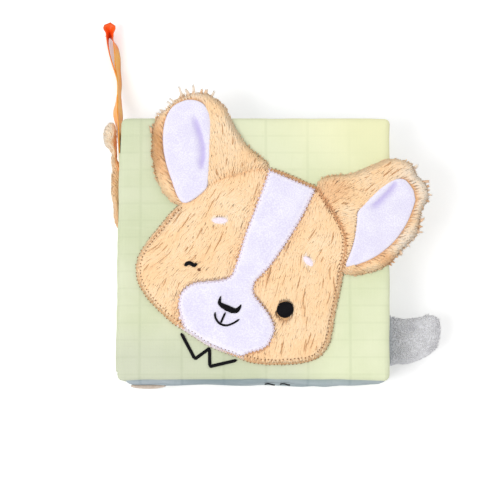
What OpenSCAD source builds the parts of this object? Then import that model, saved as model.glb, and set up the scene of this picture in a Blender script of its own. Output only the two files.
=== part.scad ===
// Soft cloth book with padded covers, a plush face with ears, tails and a ribbon loop.
// It lies closed on its back cover, spine towards -X and top edge towards +Y.
// The origin is the middle of the flat face that it lies on.

/* [Book] */
// Width of the covers, from the spine to the fore edge
cover_w = 150; // [130:1:180]
// Height of the covers, from the bottom edge to the top edge
cover_h = 148; // [130:1:180]
// Thickness of each padded cover
cover_t = 7; // [5:0.5:10]
// Space between the covers, filled by the leaves
block_t = 25; // [25:1:36]
// Radius of the covers' and leaves' corners
corner_r = 4; // [4:0.5:12]
// Thickness of the bare cloth that hinges each cover
hinge_cloth_t = 1.5; // [1:0.1:2.5]

/* [Leaves] */
// Number of padded leaves
leaf_count = 4; // [3:1:6]
// How far the leaves stay inside the covers' edges
leaf_inset = 0.5; // [0:0.5:4]
// Thickness of the spine cloth
spine_t = 2; // [1:0.5:4]

/* [Face] */
// Width of the face, across its own axis
face_w = 115.5; // [100:0.5:120]
// Height of the face, along its own axis
face_h = 105; // [90:0.5:110]
// Turn of the face on the cover, in degrees
face_turn = -23; // [-30:1:0]
// Place of the face's middle, across the cover
face_x = -2; // [-6:0.5:6]
// Place of the face's middle, up the cover
face_y = -6; // [-8:0.5:6]
// Thickness of the face's fur
fur_t = 3.2; // [2:0.1:4]
// Thickness of the smooth blaze on the fur
blaze_t = 1.4; // [1:0.1:2]

/* [Ears] */
// Length of the left ear, from its root to its tip
left_ear_l = 56; // [45:1:60]
// Width of the left ear
left_ear_w = 62; // [50:1:66]
// Turn of the left ear against the face, in degrees
left_ear_turn = 37.5; // [30:0.5:45]
// Length of the right ear, from its root to its tip
right_ear_l = 56; // [45:1:60]
// Width of the right ear
right_ear_w = 60; // [50:1:66]
// Turn of the right ear against the face, in degrees
right_ear_turn = -56; // [-65:1:-45]
// Thickness of the ears' fur
ear_t = 4; // [3:0.1:5]
// Thickness of the ears' smooth lining
lining_t = 1.2; // [0.8:0.1:2]
// Depth of the tufts along the ears' edges
tuft_depth = 1.2; // [0.4:0.1:2]

/* [Embroidery] */
// Height of the embroidered threads above what they are sewn to
thread_t = 0.6; // [0.4:0.1:1]
// Width of the nose
nose_w = 13.5; // [10:0.5:16]
// Height of the nose
nose_h = 6.5; // [5:0.5:9]
// Width of the mouth's stitched line
mouth_line = 1.3; // [0.8:0.1:2]
// Diameter of the open eye
eye_d = 9.4; // [7:0.2:12]
// Length of the winking eye
wink_l = 6.8; // [5:0.2:9]
// Width of the winking eye's stitched line
wink_line = 2.2; // [1.5:0.1:3]
// Length of the left brow spot
left_brow_l = 8.4; // [6:0.2:10]
// Length of the right brow spot
right_brow_l = 6.8; // [5:0.2:9]
// Width of each brow spot
brow_w = 3.9; // [3:0.1:5]
// Width of the chest zigzag's stitched line
zigzag_line = 1.7; // [1:0.1:2.5]

/* [Tails and ribbon] */
// Length of the grey tail past the leaves' fore edge
grey_tail_l = 30; // [20:0.5:35]
// Width of the grey tail at its root
grey_tail_w = 24; // [18:0.5:30]
// Thickness of the grey tail
grey_tail_t = 9; // [6:0.5:12]
// Height of the grey tail's underside above the resting face
grey_tail_z = 10.5; // [9:0.5:14]
// Place of the grey tail's middle, up the fore edge
grey_tail_y = -48; // [-55:1:-20]
// Length of the furry tail along the spine
fur_tail_l = 56; // [40:1:60]
// How far the furry tail stands out from the spine
fur_tail_w = 9.6; // [7:0.2:10]
// Thickness of the furry tail
fur_tail_t = 9.6; // [6:0.2:10]
// Place of the furry tail's root, up the spine
fur_tail_y = 15; // [5:1:25]
// Width of the ribbon
ribbon_w = 10; // [6:0.5:10]
// Thickness of the ribbon
ribbon_t = 0.8; // [0.5:0.1:1]
// Length of the beige flap along the bottom edge
flap_l = 20; // [12:1:30]
// How far the beige flap stands out from the bottom edge
flap_out = 1.6; // [1:0.2:4]
// Place of the beige flap's middle, across the cover
flap_x = -59.5; // [-60:0.5:-40]
// Thickness of the beige flap
flap_t = 5; // [3:0.5:6]
// Place of the first dark dash, across the cover
trim_x = 6; // [-20:1:40]
// Length of each dark dash on the bottom edge
dash_l = 6; // [4:0.5:9]
// Thickness of each dark dash
dash_t = 1.4; // [1:0.1:2]

/* [Hidden] */
$fn = 48;
// Clearance that keeps soft pieces from rubbing
gap = 0.3;
// Keeps a plate's corners off the ends of its half-round edges
skim = 0.01;
// Hinge line of both covers
hinge_x = -cover_w / 2;
// Heights of the layers
block_z = cover_t;
front_z = cover_t + block_t;
top_z = front_z + cover_t;
// The leaves fill the space between the covers
leaf_stack_t = block_t - 2 * gap;
leaf_t = leaf_stack_t / leaf_count;
leaf_x0 = hinge_x + gap + spine_t;
leaf_x1 = cover_w / 2 - leaf_inset;
leaf_h = cover_h - 2 * leaf_inset;
spine_x = hinge_x + gap;
spine_l = cover_h - 2 * corner_r;
// Points on each stretch of a smooth outline
curve_steps = 4;
// Rounding of the soft pads' upper edges, and of the tails' edges
pad_edge = 1.3;
fur_tail_edge = 1.2;
grey_tail_edge = 2.4;
// How far a cutting solid reaches past what it cuts
cut_over = 1;
// Tilt of the winking eye against the book
wink_tilt = 12;
// Distance from one dark dash to the next, in dash lengths, and the leaf that carries them
dash_pitch = 1.4;
dash_leaf = 3;
// Height of the furry tail's underside, above the flipped back cover
fur_tail_z = 2 * cover_t + gap;

// Outlines are in percent of their own piece's width and height, from its middle or root.
face_shape = [[15, 50], [18.5, 48.5], [37, 33], [43, 14], [47, -7.5], [50, -25], [45.5, -36],
    [31, -45], [20, -49], [11.5, -49.5], [-1.5, -50], [-11.5, -48.3], [-22, -46.3], [-32, -42.5],
    [-40, -38.2], [-46.6, -31.8], [-50, -22.5], [-49.2, -12.5], [-46.5, -2], [-43, 10.5],
    [-35, 27], [-23, 41], [-10, 49.5]];
// Rows of a profile are the height along the piece, its left edge and its right edge
blaze_profile = [[48, -8.6, 15.3], [38, -8, 14.9], [26, -7.5, 13.9], [12, -7, 11.8], [0, -5.8, 9.3],
    [-8, -5.3, 6.4], [-12, -5.6, 6.2], [-16, -9.4, 8], [-19.5, -15.2, 13.5], [-23, -20.4, 18.8],
    [-28, -23.6, 23.2], [-33, -24, 23.8], [-38.6, -21.8, 23], [-43.2, -18, 18.8],
    [-46.4, -12.5, 13], [-48.4, -5, 7]];
left_ear_root = [-28.7, 30.8];
left_ear_shape = [[-41, -8], [-51, 11], [-52, 37], [-45, 70], [-33, 88], [-20, 97], [-3, 100],
    [13, 90], [23, 74], [26, 54], [31, 36], [41, 18], [47, 5], [30, -15], [-20, -20]];
left_lining_shape = [[-35, -10], [-40, 18], [-40, 46], [-34.5, 69], [-25, 84], [-14, 89], [-3, 88],
    [6, 80], [8, 65], [3, 44], [-7, 8], [-14, -4]];
right_ear_root = [29.6, 36];
right_ear_shape = [[-42, -3], [-41, 27], [-45, 48], [-48, 69], [-39, 88], [-22, 99], [-5, 100],
    [10, 89], [24, 81], [36, 67], [50, 46], [53, 23], [48.5, 1], [20, -12], [-25, -12]];
right_lining_profile = [[3, 40.5, 43.5], [10, 30.5, 43.8], [16, 19.5, 43.2], [21, 6.5, 42.4],
    [24.5, -4.5, 41.8], [32, -10, 39.8], [40, -15.5, 36.8], [55, -24, 28.5], [69, -28, 16],
    [78, -25, 4], [83.5, -14.5, -5.5]];
nose_at = [-0.7, -26.6];
nose_shape = [[-47, 50], [-40, 22], [-34, 1], [-12, -2], [12, -2], [27, 1], [35, 22], [42, 50],
    [48, 24], [47, -10], [40, -33], [24, -47], [8, -50], [-8, -48], [-24, -43], [-38, -32],
    [-48, -16], [-50, 20]];
mouth_stem = [[-1.1, -30.8], [-1.2, -36.6]];
mouth_smile = [[-5.6, -32.8], [-4.4, -35.2], [-1.7, -37], [1.6, -36.7], [4.3, -34.2], [6.2, -31.2]];
eye_at = [24.5, -16.9];
wink_at = [-25.7, -14];
wink_dot_at = [-20.9, -15.2];
left_brow_at = [-20.9, 13.1];
right_brow_at = [25.6, 11.4];
zigzag_points = [[-16.6, -49.5], [-5.9, -59], [-1.5, -50.8], [2, -59.6], [12.5, -51.2]];
// Tail outlines run out along their own length from the root
grey_tail_shape = [[0, 46], [30, 49], [62, 53], [84, 58], [98, 44], [100, 12], [91, -19], [73, -40],
    [42, -56], [20, -57], [0, -53]];
fur_tail_profile = [[0, -24, -4], [4, -33, 0], [12, -42, 0], [35, -46, 0], [54, -44, 0],
    [59, -45, -4], [65, -50, -26], [74, -66, -29], [81, -88, -30], [90, -98, -32], [97, -82, -40],
    [100, -70, -56]];
// Route of the ribbon: out of the spine, round the loop and back, resting on the table.
// Its points are in mm, from the spine's top end at the height of the table.
ribbon_points = [[-1.7, -22, 19.5], [-1.7, -11, 19.5], [-2.2, 0, 19], [-2.6, 7, 15.5],
    [-2.4, 15, 10.5], [-2, 23, 7.5], [-3.6, 29, 5.8], [-7.2, 34, 5.5], [-9.6, 41, 5.5],
    [-10.6, 50, 5.5], [-10.4, 57, 5.5], [-9, 60.8, 5.5], [-7.2, 61.9, 5.5], [-5.6, 60, 5.5],
    [-4.6, 54, 5.5], [-2.9, 47, 5.5], [-2.5, 40, 5.5], [-2.8, 34, 5.5], [-2, 29, 5.8],
    [-0.4, 23, 7.5], [-0.6, 15, 10.5], [-0.6, 7, 15.5], [-0.5, 0, 19], [-0.5, -11, 19.5],
    [-0.5, -22, 19.5]];

// Smooth curves through points, by Catmull-Rom pieces
function spline_at(a, b, c, d, t) =
    0.5 * (2 * b + (c - a) * t + (2 * a - 5 * b + 4 * c - d) * t * t
        + (3 * b - a - 3 * c + d) * t * t * t);
function closed_curve(p, steps = curve_steps) =
    [for (i = [0 : len(p) - 1], k = [0 : steps - 1])
        spline_at(p[(i + len(p) - 1) % len(p)], p[i], p[(i + 1) % len(p)],
            p[(i + 2) % len(p)], k / steps)];
function open_curve(p, steps = curve_steps) =
    [for (i = [0 : len(p) - 2], k = [0 : (i == len(p) - 2 ? steps : steps - 1)])
        spline_at(p[max(i - 1, 0)], p[i], p[i + 1], p[min(i + 2, len(p) - 1)], k / steps)];
function profile_outline(rows, w, h) =
    let (c = open_curve(rows))
    percent(concat([for (q = c) [q[1], q[0]]],
        [for (i = [len(c) - 1 : -1 : 0]) [c[i][2], c[i][0]]]), w, h);
function percent(p, w, h) = [for (q = p) [q[0] * w / 100, q[1] * h / 100]];
function area(p) =
    sum([for (i = [0 : len(p) - 1]) cross(p[i], p[(i + 1) % len(p)])]) / 2;
function sum(v, i = 0) = i == len(v) ? 0 : v[i] + sum(v, i + 1);
function counter_clockwise(p) =
    area(p) > 0 ? p : [for (i = [len(p) - 1 : -1 : 0]) p[i]];
function unit(v) = v / norm(v);
function inward(p, i) =
    let (t = p[(i + 1) % len(p)] - p[(i + len(p) - 1) % len(p)]) unit([-t[1], t[0]]);
function inset(p, d) = [for (i = [0 : len(p) - 1]) p[i] + d * inward(p, i)];
// Cuts an outline's bulge back to a straight root
function straight_root(p) = [for (q = p) [max(q[0], 0), q[1]]];
// Every second point moves out, by a share of the depth that differs from tuft to tuft
function tufted(p, depth, seed) =
    let (r = rands(0.3, 1, len(p), seed))
    [for (i = [0 : len(p) - 1]) i % 2 == 0 ? p[i] : p[i] - depth * r[i] * inward(p, i)];

// Closes a stack of rings of equal size, in triangles. A fan closes an outline that can be seen
// whole from the point hub, and a ladder closes one whose first half runs back along its second.
module shell(rings, ladder = false, hub = [0, 0]) {
    n = len(rings[0]);
    m = len(rings);
    low = n * m;
    last = n * (m - 1);
    ends = [[hub[0], hub[1], rings[0][0][2]], [hub[0], hub[1], rings[m - 1][0][2]]];
    sides = [for (k = [0 : m - 2], i = [0 : n - 1])
        let (j = (i + 1) % n, a = k * n, b = a + n) each [[a + i, b + i, b + j], [a + i, b + j, a + j]]];
    fans = [for (i = [0 : n - 1])
        let (j = (i + 1) % n) each [[low, i, j], [low + 1, last + j, last + i]]];
    rungs = [for (i = [0 : n / 2 - 2])
        let (j = n - 1 - i)
        each [[i, i + 1, j], [i + 1, j - 1, j], [last + i, last + j, last + i + 1],
            [last + i + 1, last + j, last + j - 1]]];
    points = [for (ring = rings) each ring];
    polyhedron(points = ladder ? points : concat(points, ends),
        faces = concat(sides, ladder ? rungs : fans), convexity = 6);
}

function raised(p, z) = [for (q = p) [q[0], q[1], z]];

// A soft pad with a flat underside and a rounded upper edge
module pad(outline, t, edge = pad_edge, ladder = false, hub = [0, 0]) {
    p = counter_clockwise(outline);
    e = min(edge, t * 0.9);
    rim = [for (a = [0, 30, 60, 90]) raised(inset(p, e * (1 - cos(a))), t - e + e * sin(a))];
    shell(concat([raised(p, 0)], rim), ladder, hub);
}

// A soft pad that is rounded on both sides
module full_pad(outline, t, edge, ladder = false, hub = [0, 0]) {
    p = counter_clockwise(outline);
    shell([for (a = [-90 : 30 : 90]) raised(inset(p, edge * (1 - cos(a))), t / 2 + t / 2 * sin(a))],
        ladder, hub);
}

// A slab with half-round edges along its length
module half_round_slab(w, l, t) {
    rotate([90, 0, 0]) translate([0, 0, -l / 2]) linear_extrude(height = l) {
        translate([-w / 2 + t / 2, 0]) square([w - t, t]);
        for (s = [-1, 1]) translate([s * (w - t) / 2, t / 2]) circle(d = t);
    }
}

// A padded plate with half-round edges and round corners
module padded_plate(w, h, t, r) {
    x = w / 2 - r - skim;
    y = h / 2 - r - skim;
    intersection() {
        half_round_slab(w, h, t);
        rotate([0, 0, 90]) half_round_slab(h, w, t);
        linear_extrude(height = t) {
            square([2 * x, 2 * y + 2 * r], center = true);
            square([2 * x + 2 * r, 2 * y], center = true);
            for (a = [-x, x], b = [-y, y]) translate([a, b]) circle(r = r);
        }
    }
}

// The outline of a line of stitches, mitred where it turns
function stroke_outline(p, w) =
    let (n = len(p), d = [for (i = [0 : n - 2]) unit(p[i + 1] - p[i])])
    let (side = [for (i = [0 : n - 1])
        let (a = d[max(i - 1, 0)], b = d[min(i, n - 2)])
        let (across = [-a[1], a[0]], s = unit(across + [-b[1], b[0]])) s / (s * across)])
    concat([for (i = [0 : n - 1]) p[i] + side[i] * w / 2],
        [for (i = [n - 1 : -1 : 0]) p[i] - side[i] * w / 2]);

module stroke(points, w) {
    polygon(stroke_outline(points, w));
}

// Places things in the face's own frame, at a height above the table
module on_face(z) {
    translate([face_x, face_y, z]) rotate([0, 0, face_turn]) children();
}

module at_percent(p) {
    translate([p[0] * face_w / 100, p[1] * face_h / 100, 0]) children();
}

function face_outline() =
    counter_clockwise(closed_curve(percent(face_shape, face_w, face_h)));
// The face's outline with its clearance, cut out of what lies beside it
module face_cut() {
    translate([0, 0, -cut_over]) linear_extrude(height = ear_t + lining_t + 2 * cut_over)
        polygon(inset(face_outline(), -gap));
}

// The bare cloth along a cover's hinge, run on into its padding
module hinge_cloth() {
    translate([hinge_x, -spine_l / 2, 0]) cube([cover_t, spine_l, hinge_cloth_t]);
}

module front_cover() {
    color("#DDE6C0") union() {
        translate([0, 0, front_z]) padded_plate(cover_w, cover_h, cover_t, corner_r);
        translate([0, 0, front_z]) hinge_cloth();
    }
}

module back_cover() {
    color("#DDE6C0") union() {
        padded_plate(cover_w, cover_h, cover_t, corner_r);
        translate([0, 0, cover_t - hinge_cloth_t]) hinge_cloth();
    }
}

module spine() {
    color("#D5DEB6") translate([spine_x, -spine_l / 2, block_z + gap])
        cube([spine_t, spine_l, leaf_stack_t]);
}

// Each leaf plate is long enough to be cut off flat at the spine
module pages() {
    r = leaf_t / 2;
    w = 2 * (leaf_x1 - leaf_x0);
    color("#B8C4C6") intersection() {
        union() {
            for (i = [0 : leaf_count - 1])
                translate([leaf_x1 - w / 2, 0, block_z + gap + i * leaf_t])
                    padded_plate(w, leaf_h, leaf_t, corner_r);
            translate([leaf_x0, -leaf_h / 2 + r, block_z + gap])
                cube([leaf_x1 - r - leaf_x0, leaf_h - 2 * r, leaf_stack_t]);
        }
        translate([leaf_x0, -cover_h, 0]) cube([2 * cover_w, 2 * cover_h, front_z]);
    }
}

module face_fur() {
    color("#F7CB9A") on_face(top_z) pad(face_outline(), fur_t);
}

module face_blaze() {
    color("#ECE8FC") on_face(top_z + fur_t)
        pad(profile_outline(blaze_profile, face_w, face_h), blaze_t, ladder = true);
}

// Places things at an ear's root, along the ear, and keeps them off the face
module on_ear(root, turn, z) {
    on_face(z) difference() {
        at_percent(root) rotate([0, 0, turn]) children();
        face_cut();
    }
}

module ear_fur(shape, w, l, seed) {
    outline = counter_clockwise(closed_curve(percent(shape, w, l)));
    pad(tufted(outline, tuft_depth, seed), ear_t, hub = [0, l * 0.4]);
}

module left_ear_fur() {
    color("#F5C592") on_ear(left_ear_root, left_ear_turn, top_z)
        ear_fur(left_ear_shape, left_ear_w, left_ear_l, 5);
}

module left_ear_lining() {
    outline = closed_curve(percent(left_lining_shape, left_ear_w, left_ear_l));
    color("#E6E0FA") on_ear(left_ear_root, left_ear_turn, top_z + ear_t)
        pad(outline, lining_t, hub = [-left_ear_w * 0.17, left_ear_l * 0.5]);
}

module right_ear_fur() {
    color("#F5C592") on_ear(right_ear_root, right_ear_turn, top_z)
        ear_fur(right_ear_shape, right_ear_w, right_ear_l, 9);
}

module right_ear_lining() {
    outline = profile_outline(right_lining_profile, right_ear_w, right_ear_l);
    color("#E6E0FA") on_ear(right_ear_root, right_ear_turn, top_z + ear_t)
        pad(outline, lining_t, ladder = true);
}

module nose() {
    color("#1C1A22") on_face(top_z + fur_t + blaze_t) at_percent(nose_at)
        linear_extrude(height = thread_t) polygon(closed_curve(percent(nose_shape, nose_w, nose_h)));
}

module mouth() {
    color("#1C1A22") on_face(top_z + fur_t + blaze_t) linear_extrude(height = thread_t) {
        stroke(percent(mouth_stem, face_w, face_h), mouth_line);
        stroke(open_curve(percent(mouth_smile, face_w, face_h), 2), mouth_line);
    }
}

module open_eye() {
    color("#15141A") on_face(top_z + fur_t) at_percent(eye_at) cylinder(d = eye_d, h = thread_t);
}

module winking_eye() {
    color("#221C1E") on_face(top_z + fur_t) {
        at_percent(wink_at) rotate([0, 0, -face_turn - wink_tilt]) linear_extrude(height = thread_t)
            stroke([[-wink_l / 2, 0], [0, wink_line / 5], [wink_l / 2, -wink_line / 5]], wink_line);
        at_percent(wink_dot_at) cylinder(d = wink_line, h = thread_t);
    }
}

module brow(l) {
    linear_extrude(height = thread_t)
        polygon([for (a = [0 : 12 : 348]) [l / 2 * cos(a), brow_w / 2 * sin(a)]]);
}

module left_brow() {
    color("#F6E4EE") on_face(top_z + fur_t) at_percent(left_brow_at)
        rotate([0, 0, -face_turn]) brow(left_brow_l);
}

module right_brow() {
    color("#F6E4EE") on_face(top_z + fur_t) at_percent(right_brow_at)
        rotate([0, 0, face_turn]) brow(right_brow_l);
}

module chest_zigzag() {
    color("#1C1A22") on_face(top_z) linear_extrude(height = thread_t) difference() {
        stroke(percent(zigzag_points, face_w, face_h), zigzag_line);
        polygon(inset(face_outline(), -gap));
    }
}

// The flat ribbon, swept on edge along its own route
module ribbon_loop() {
    route = open_curve([for (q = ribbon_points) q + [hinge_x, cover_h / 2, 0]], 2);
    n = len(route);
    rings = [for (i = [0 : n - 1])
        let (t = unit(route[min(i + 1, n - 1)] - route[max(i - 1, 0)]))
        let (up = unit([0, 0, 1] - t * t[2]), side = cross(t, up))
        [for (s = [[-1, -1], [1, -1], [1, 1], [-1, 1]])
            route[i] + s[0] * side * ribbon_t / 2 + s[1] * up * ribbon_w / 2]];
    color("#F59A23") shell(rings, ladder = true);
}

module fur_tail() {
    outline = profile_outline(fur_tail_profile, fur_tail_w, fur_tail_l);
    color("#E0A878") translate([spine_x - gap, fur_tail_y, fur_tail_z])
        full_pad(outline, fur_tail_t, fur_tail_edge, ladder = true);
}

module grey_tail() {
    outline = straight_root(closed_curve(percent(grey_tail_shape, grey_tail_l, grey_tail_w)));
    color("#C8C8CE") translate([leaf_x1 + gap, grey_tail_y, grey_tail_z])
        full_pad(outline, grey_tail_t, grey_tail_edge, hub = [grey_tail_l / 2, 0]);
}

// The rim of a flap sewn inside the leaves, as much of it as comes out
module page_flap() {
    color("#D9C6B8")
        translate([flap_x, -leaf_h / 2 - gap, block_z + leaf_t / 2]) linear_extrude(height = flap_t)
            polygon([for (a = [180 : 12 : 360]) [flap_l / 2 * cos(a), flap_out * sin(a)]]);
}

// Two dark stitched dashes on the edge of one leaf
module page_trim() {
    color("#1C1A22") for (x = [trim_x, trim_x + dash_pitch * dash_l])
        translate([x, -leaf_h / 2 - gap - dash_t, block_z + gap + leaf_t * (dash_leaf + 0.5) - dash_t / 2])
            cube([dash_l, dash_t, dash_t]);
}

front_cover();
back_cover();
spine();
pages();
face_fur();
face_blaze();
left_ear_fur();
left_ear_lining();
right_ear_fur();
right_ear_lining();
nose();
mouth();
open_eye();
winking_eye();
left_brow();
right_brow();
chest_zigzag();
ribbon_loop();
fur_tail();
grey_tail();
page_flap();
page_trim();
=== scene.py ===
import math
import bpy
import numpy as np
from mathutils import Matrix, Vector
from mathutils.geometry import delaunay_2d_cdt


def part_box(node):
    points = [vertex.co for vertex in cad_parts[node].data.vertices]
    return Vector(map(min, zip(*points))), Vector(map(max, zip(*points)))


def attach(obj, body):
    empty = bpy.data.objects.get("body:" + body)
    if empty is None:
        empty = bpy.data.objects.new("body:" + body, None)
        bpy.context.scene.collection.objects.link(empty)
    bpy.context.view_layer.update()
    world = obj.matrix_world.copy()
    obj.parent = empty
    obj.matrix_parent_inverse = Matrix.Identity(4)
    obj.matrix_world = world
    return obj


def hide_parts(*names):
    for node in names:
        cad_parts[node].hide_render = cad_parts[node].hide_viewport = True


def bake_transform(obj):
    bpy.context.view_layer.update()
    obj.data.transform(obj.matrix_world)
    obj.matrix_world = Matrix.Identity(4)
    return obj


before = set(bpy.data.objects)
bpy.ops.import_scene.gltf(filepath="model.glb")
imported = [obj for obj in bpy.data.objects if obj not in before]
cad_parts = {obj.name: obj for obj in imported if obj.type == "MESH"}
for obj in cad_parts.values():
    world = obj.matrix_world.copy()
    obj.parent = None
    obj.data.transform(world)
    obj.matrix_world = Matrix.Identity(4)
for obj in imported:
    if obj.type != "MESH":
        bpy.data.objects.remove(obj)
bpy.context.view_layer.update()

# All shapes below are in millimetres in the book's own frame, and become metres in make().
# First the closed book's half sizes and the heights of its layers, then the face and small parts
MM = 0.001
HALF_W = 75.0
HALF_H = 74.0
TOP_Z = 39.0
FRONT_Z = 32.0
COVER_T = 7.0
LEAVES_Z = 7.3
LEAF_T = 6.1
LEAF_COUNT = 4
LEAF_X0 = -72.7
LEAF_X1 = 74.5
LEAF_Y = 73.5
SPINE_X = -73.95
SPINE_HALF = 70.0
SPINE_THICK = 1.3
HINGE_THICK = 0.7
HINGE_Y0 = -67.0
EAR_THICK = 3.6
RIBBON_W = 10.0
RIBBON_THICK = 0.45
STITCH_PITCH = 0.42
FACE_W = 115.5
FACE_H = 105.0
FACE_TURN = -23.0
FACE_AT = np.array([-2.0, -6.0])
UP = np.array([0.0, 0.0, 1.0])

# Outlines in percent of their own piece's width and height, as in the part's source
FACE = [[15, 50], [18.5, 48.5], [37, 33], [43, 14], [47, -7.5], [50, -25], [45.5, -36], [31, -45],
        [20, -49], [11.5, -49.5], [-1.5, -50], [-11.5, -48.3], [-22, -46.3], [-32, -42.5],
        [-40, -38.2], [-46.6, -31.8], [-50, -22.5], [-49.2, -12.5], [-46.5, -2], [-43, 10.5],
        [-35, 27], [-23, 41], [-10, 49.5]]
BLAZE = [[48, -8.6, 15.3], [38, -8, 14.9], [26, -7.5, 13.9], [12, -7, 11.8], [0, -5.8, 9.3],
         [-8, -5.3, 6.4], [-12, -5.6, 6.2], [-16, -9.4, 8], [-19.5, -15.2, 13.5],
         [-23, -20.4, 18.8], [-28, -23.6, 23.2], [-33, -24, 23.8], [-38.6, -21.8, 23],
         [-43.2, -18, 18.8], [-46.4, -12.5, 13], [-48.4, -5, 7]]
LEFT_EAR = {
    "size": (62.0, 56.0), "root": [-28.7, 30.8], "turn": 37.5,
    "fur": [[-41, -8], [-50.5, 11], [-51.5, 37], [-46, 66], [-37.7, 80.5], [-27, 87], [-20, 91],
            [-12.8, 94], [-4.8, 95], [2, 94.5], [9, 92], [15.3, 86], [23, 73.5], [26, 56],
            [31.5, 36], [41, 18], [47, 5], [30, -15], [-20, -20]],
    "lining": [[-35, -10], [-40, 18], [-40, 46], [-34.5, 69], [-25, 84], [-14, 89], [-3, 88],
               [6, 80], [8, 65], [3, 44], [-7, 8], [-14, -4]],
}
RIGHT_EAR = {
    "size": (60.0, 56.0), "root": [29.6, 36], "turn": -56.0,
    "fur": [[-42, -3], [-41, 27], [-45, 48], [-48, 69], [-40, 86], [-28, 89.5], [-20, 96],
            [-7, 97], [2, 90], [10, 85], [24, 79], [32, 70], [38, 59.5], [48, 45],
            [52, 23], [48, 1], [20, -12], [-25, -12]],
    "rows": [[3, 40.5, 43.5], [10, 30.5, 43.8], [16, 19.5, 43.2], [21, 6.5, 42.4],
             [24.5, -4.5, 41.8], [32, -10, 39.8], [40, -15.5, 36.8], [55, -24, 28.5],
             [69, -28, 16], [78, -25, 4], [83.5, -14.5, -5.5]],
}
NOSE = [[-47, 50], [-40, 22], [-34, 1], [-12, -2], [12, -2], [27, 1], [35, 22], [42, 50],
        [48, 24], [47, -10], [40, -33], [24, -47], [8, -50], [-8, -48], [-24, -43], [-38, -32],
        [-48, -16], [-50, 20]]
MOUTH_STEM = [[-1.1, -30.8], [-1.2, -36.6]]
MOUTH_SMILE = [[-5.6, -32.8], [-4.4, -35.2], [-1.7, -37], [1.6, -36.7], [4.3, -34.2],
               [6.2, -31.2]]
ZIGZAG = [[-16.6, -49.5], [-5.9, -59], [-1.5, -50.8], [2, -59.6], [12.5, -51.2]]
GREY_TAIL = [[0, 46], [30, 49], [62, 53], [84, 58], [98, 44], [100, 12], [91, -19], [73, -40],
             [42, -56], [20, -57], [0, -53]]
FUR_TAIL = [[0, -24, -4], [4, -33, 0], [12, -42, 0], [35, -46, 0], [54, -44, 0], [59, -45, -4],
            [65, -50, -26], [74, -66, -29], [81, -88, -30], [90, -98, -32], [97, -82, -40],
            [100, -70, -56]]
# The ribbon's route from the spine's top end, round the loop and back, then its tilt in degrees
# and how much painted light reddens it where light comes through the bend
RIBBON = [[-1.2, -27, 20.1, 3, 0], [-1.5, -16, 20.1, 5, 0], [-2.1, -6, 19.9, 8, 0],
          [-2.8, 1, 18.6, 11, 0], [-3.9, 8, 15.1, 18, 0], [-4.1, 12.5, 12.6, 17, 0],
          [-3.8, 18, 9.6, 8, 0], [-3.6, 23, 8.1, 4, 0], [-3.8, 27, 6.8, 3, 0],
          [-4.5, 31, 5.8, 2, 0.1], [-6.1, 36, 5.5, 2, 0.2], [-7.9, 41.5, 5.5, 1, 0.4],
          [-9.2, 47.5, 5.5, 0, 0.7], [-9.8, 53, 5.5, -3, 1], [-9.7, 56, 5.5, -9, 1],
          [-9.3, 57.8, 5.5, -36, 1], [-8.6, 58.4, 5.5, -56, 1], [-7.9, 57.4, 5.5, -38, 1],
          [-7.2, 55.2, 5.5, -14, 1], [-6.2, 52.4, 5.5, 0, 0.9], [-5.0, 49, 5.5, 11, 0.4],
          [-4.0, 43, 5.5, 15, 0], [-3.7, 36, 5.3, 14, 0], [-3.0, 31, 5.2, 11, 0],
          [-2.6, 27, 5.6, 9, 0], [-2.6, 22, 7.0, 7, 0], [-2.3, 17, 8.9, 9, 0],
          [-1.9, 12, 11.6, 12, 0], [-1.6, 8, 13.7, 13, 0], [-1.35, 1, 17.4, 8, 0],
          [-1.1, -8, 18.9, 4, 0], [-0.7, -27, 18.9, 1, 0]]


# Curves, outlines and fields

def unit(rows):
    return rows / np.maximum(np.linalg.norm(rows, axis=1), 1e-9)[:, None]


def left_of(ahead):
    """Unit vectors in plan, a quarter turn to the left of each heading."""
    return unit(np.stack([-ahead[:, 1], ahead[:, 0]], 1))


def spline(points, closed, steps):
    """A smooth curve through points, by Catmull-Rom pieces."""
    p = np.array(points, float)
    n = len(p)
    pieces = range(n if closed else n - 1)
    index = (lambda k: k % n) if closed else (lambda k: min(max(k, 0), n - 1))
    t = (np.arange(steps) / steps)[:, None]
    out = []
    for i in pieces:
        a, b, c, d = (p[index(i + k)] for k in (-1, 0, 1, 2))
        out.append(0.5 * (2 * b + (c - a) * t + (2 * a - 5 * b + 4 * c - d) * t * t
                          + (3 * b - a - 3 * c + d) * t ** 3))
    if not closed:
        out.append(p[-1:])
    return np.concatenate(out)


def percent(points, width, height):
    return np.array(points, float) * (width / 100, height / 100)


def profile(rows, width, height):
    """The closed outline of rows that give a height, a left edge and a right edge."""
    c = spline(rows, False, 4)
    left = c[:, [1, 0]]
    right = c[::-1][:, [2, 0]]
    return percent(np.concatenate([left, right]), width, height)


def turned(points, degrees):
    a = math.radians(degrees)
    x, y = np.array(points, float).T
    return np.stack([x * math.cos(a) - y * math.sin(a), x * math.sin(a) + y * math.cos(a)], 1)


def on_face(points):
    return turned(points, FACE_TURN) + FACE_AT


def face_spot(place):
    """A place in percent of the face, in the book's frame."""
    return on_face(percent([place], FACE_W, FACE_H))[0]


def on_ear(points, ear):
    root = percent([ear["root"]], FACE_W, FACE_H)
    return on_face(root + turned(points, ear["turn"]))


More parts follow.
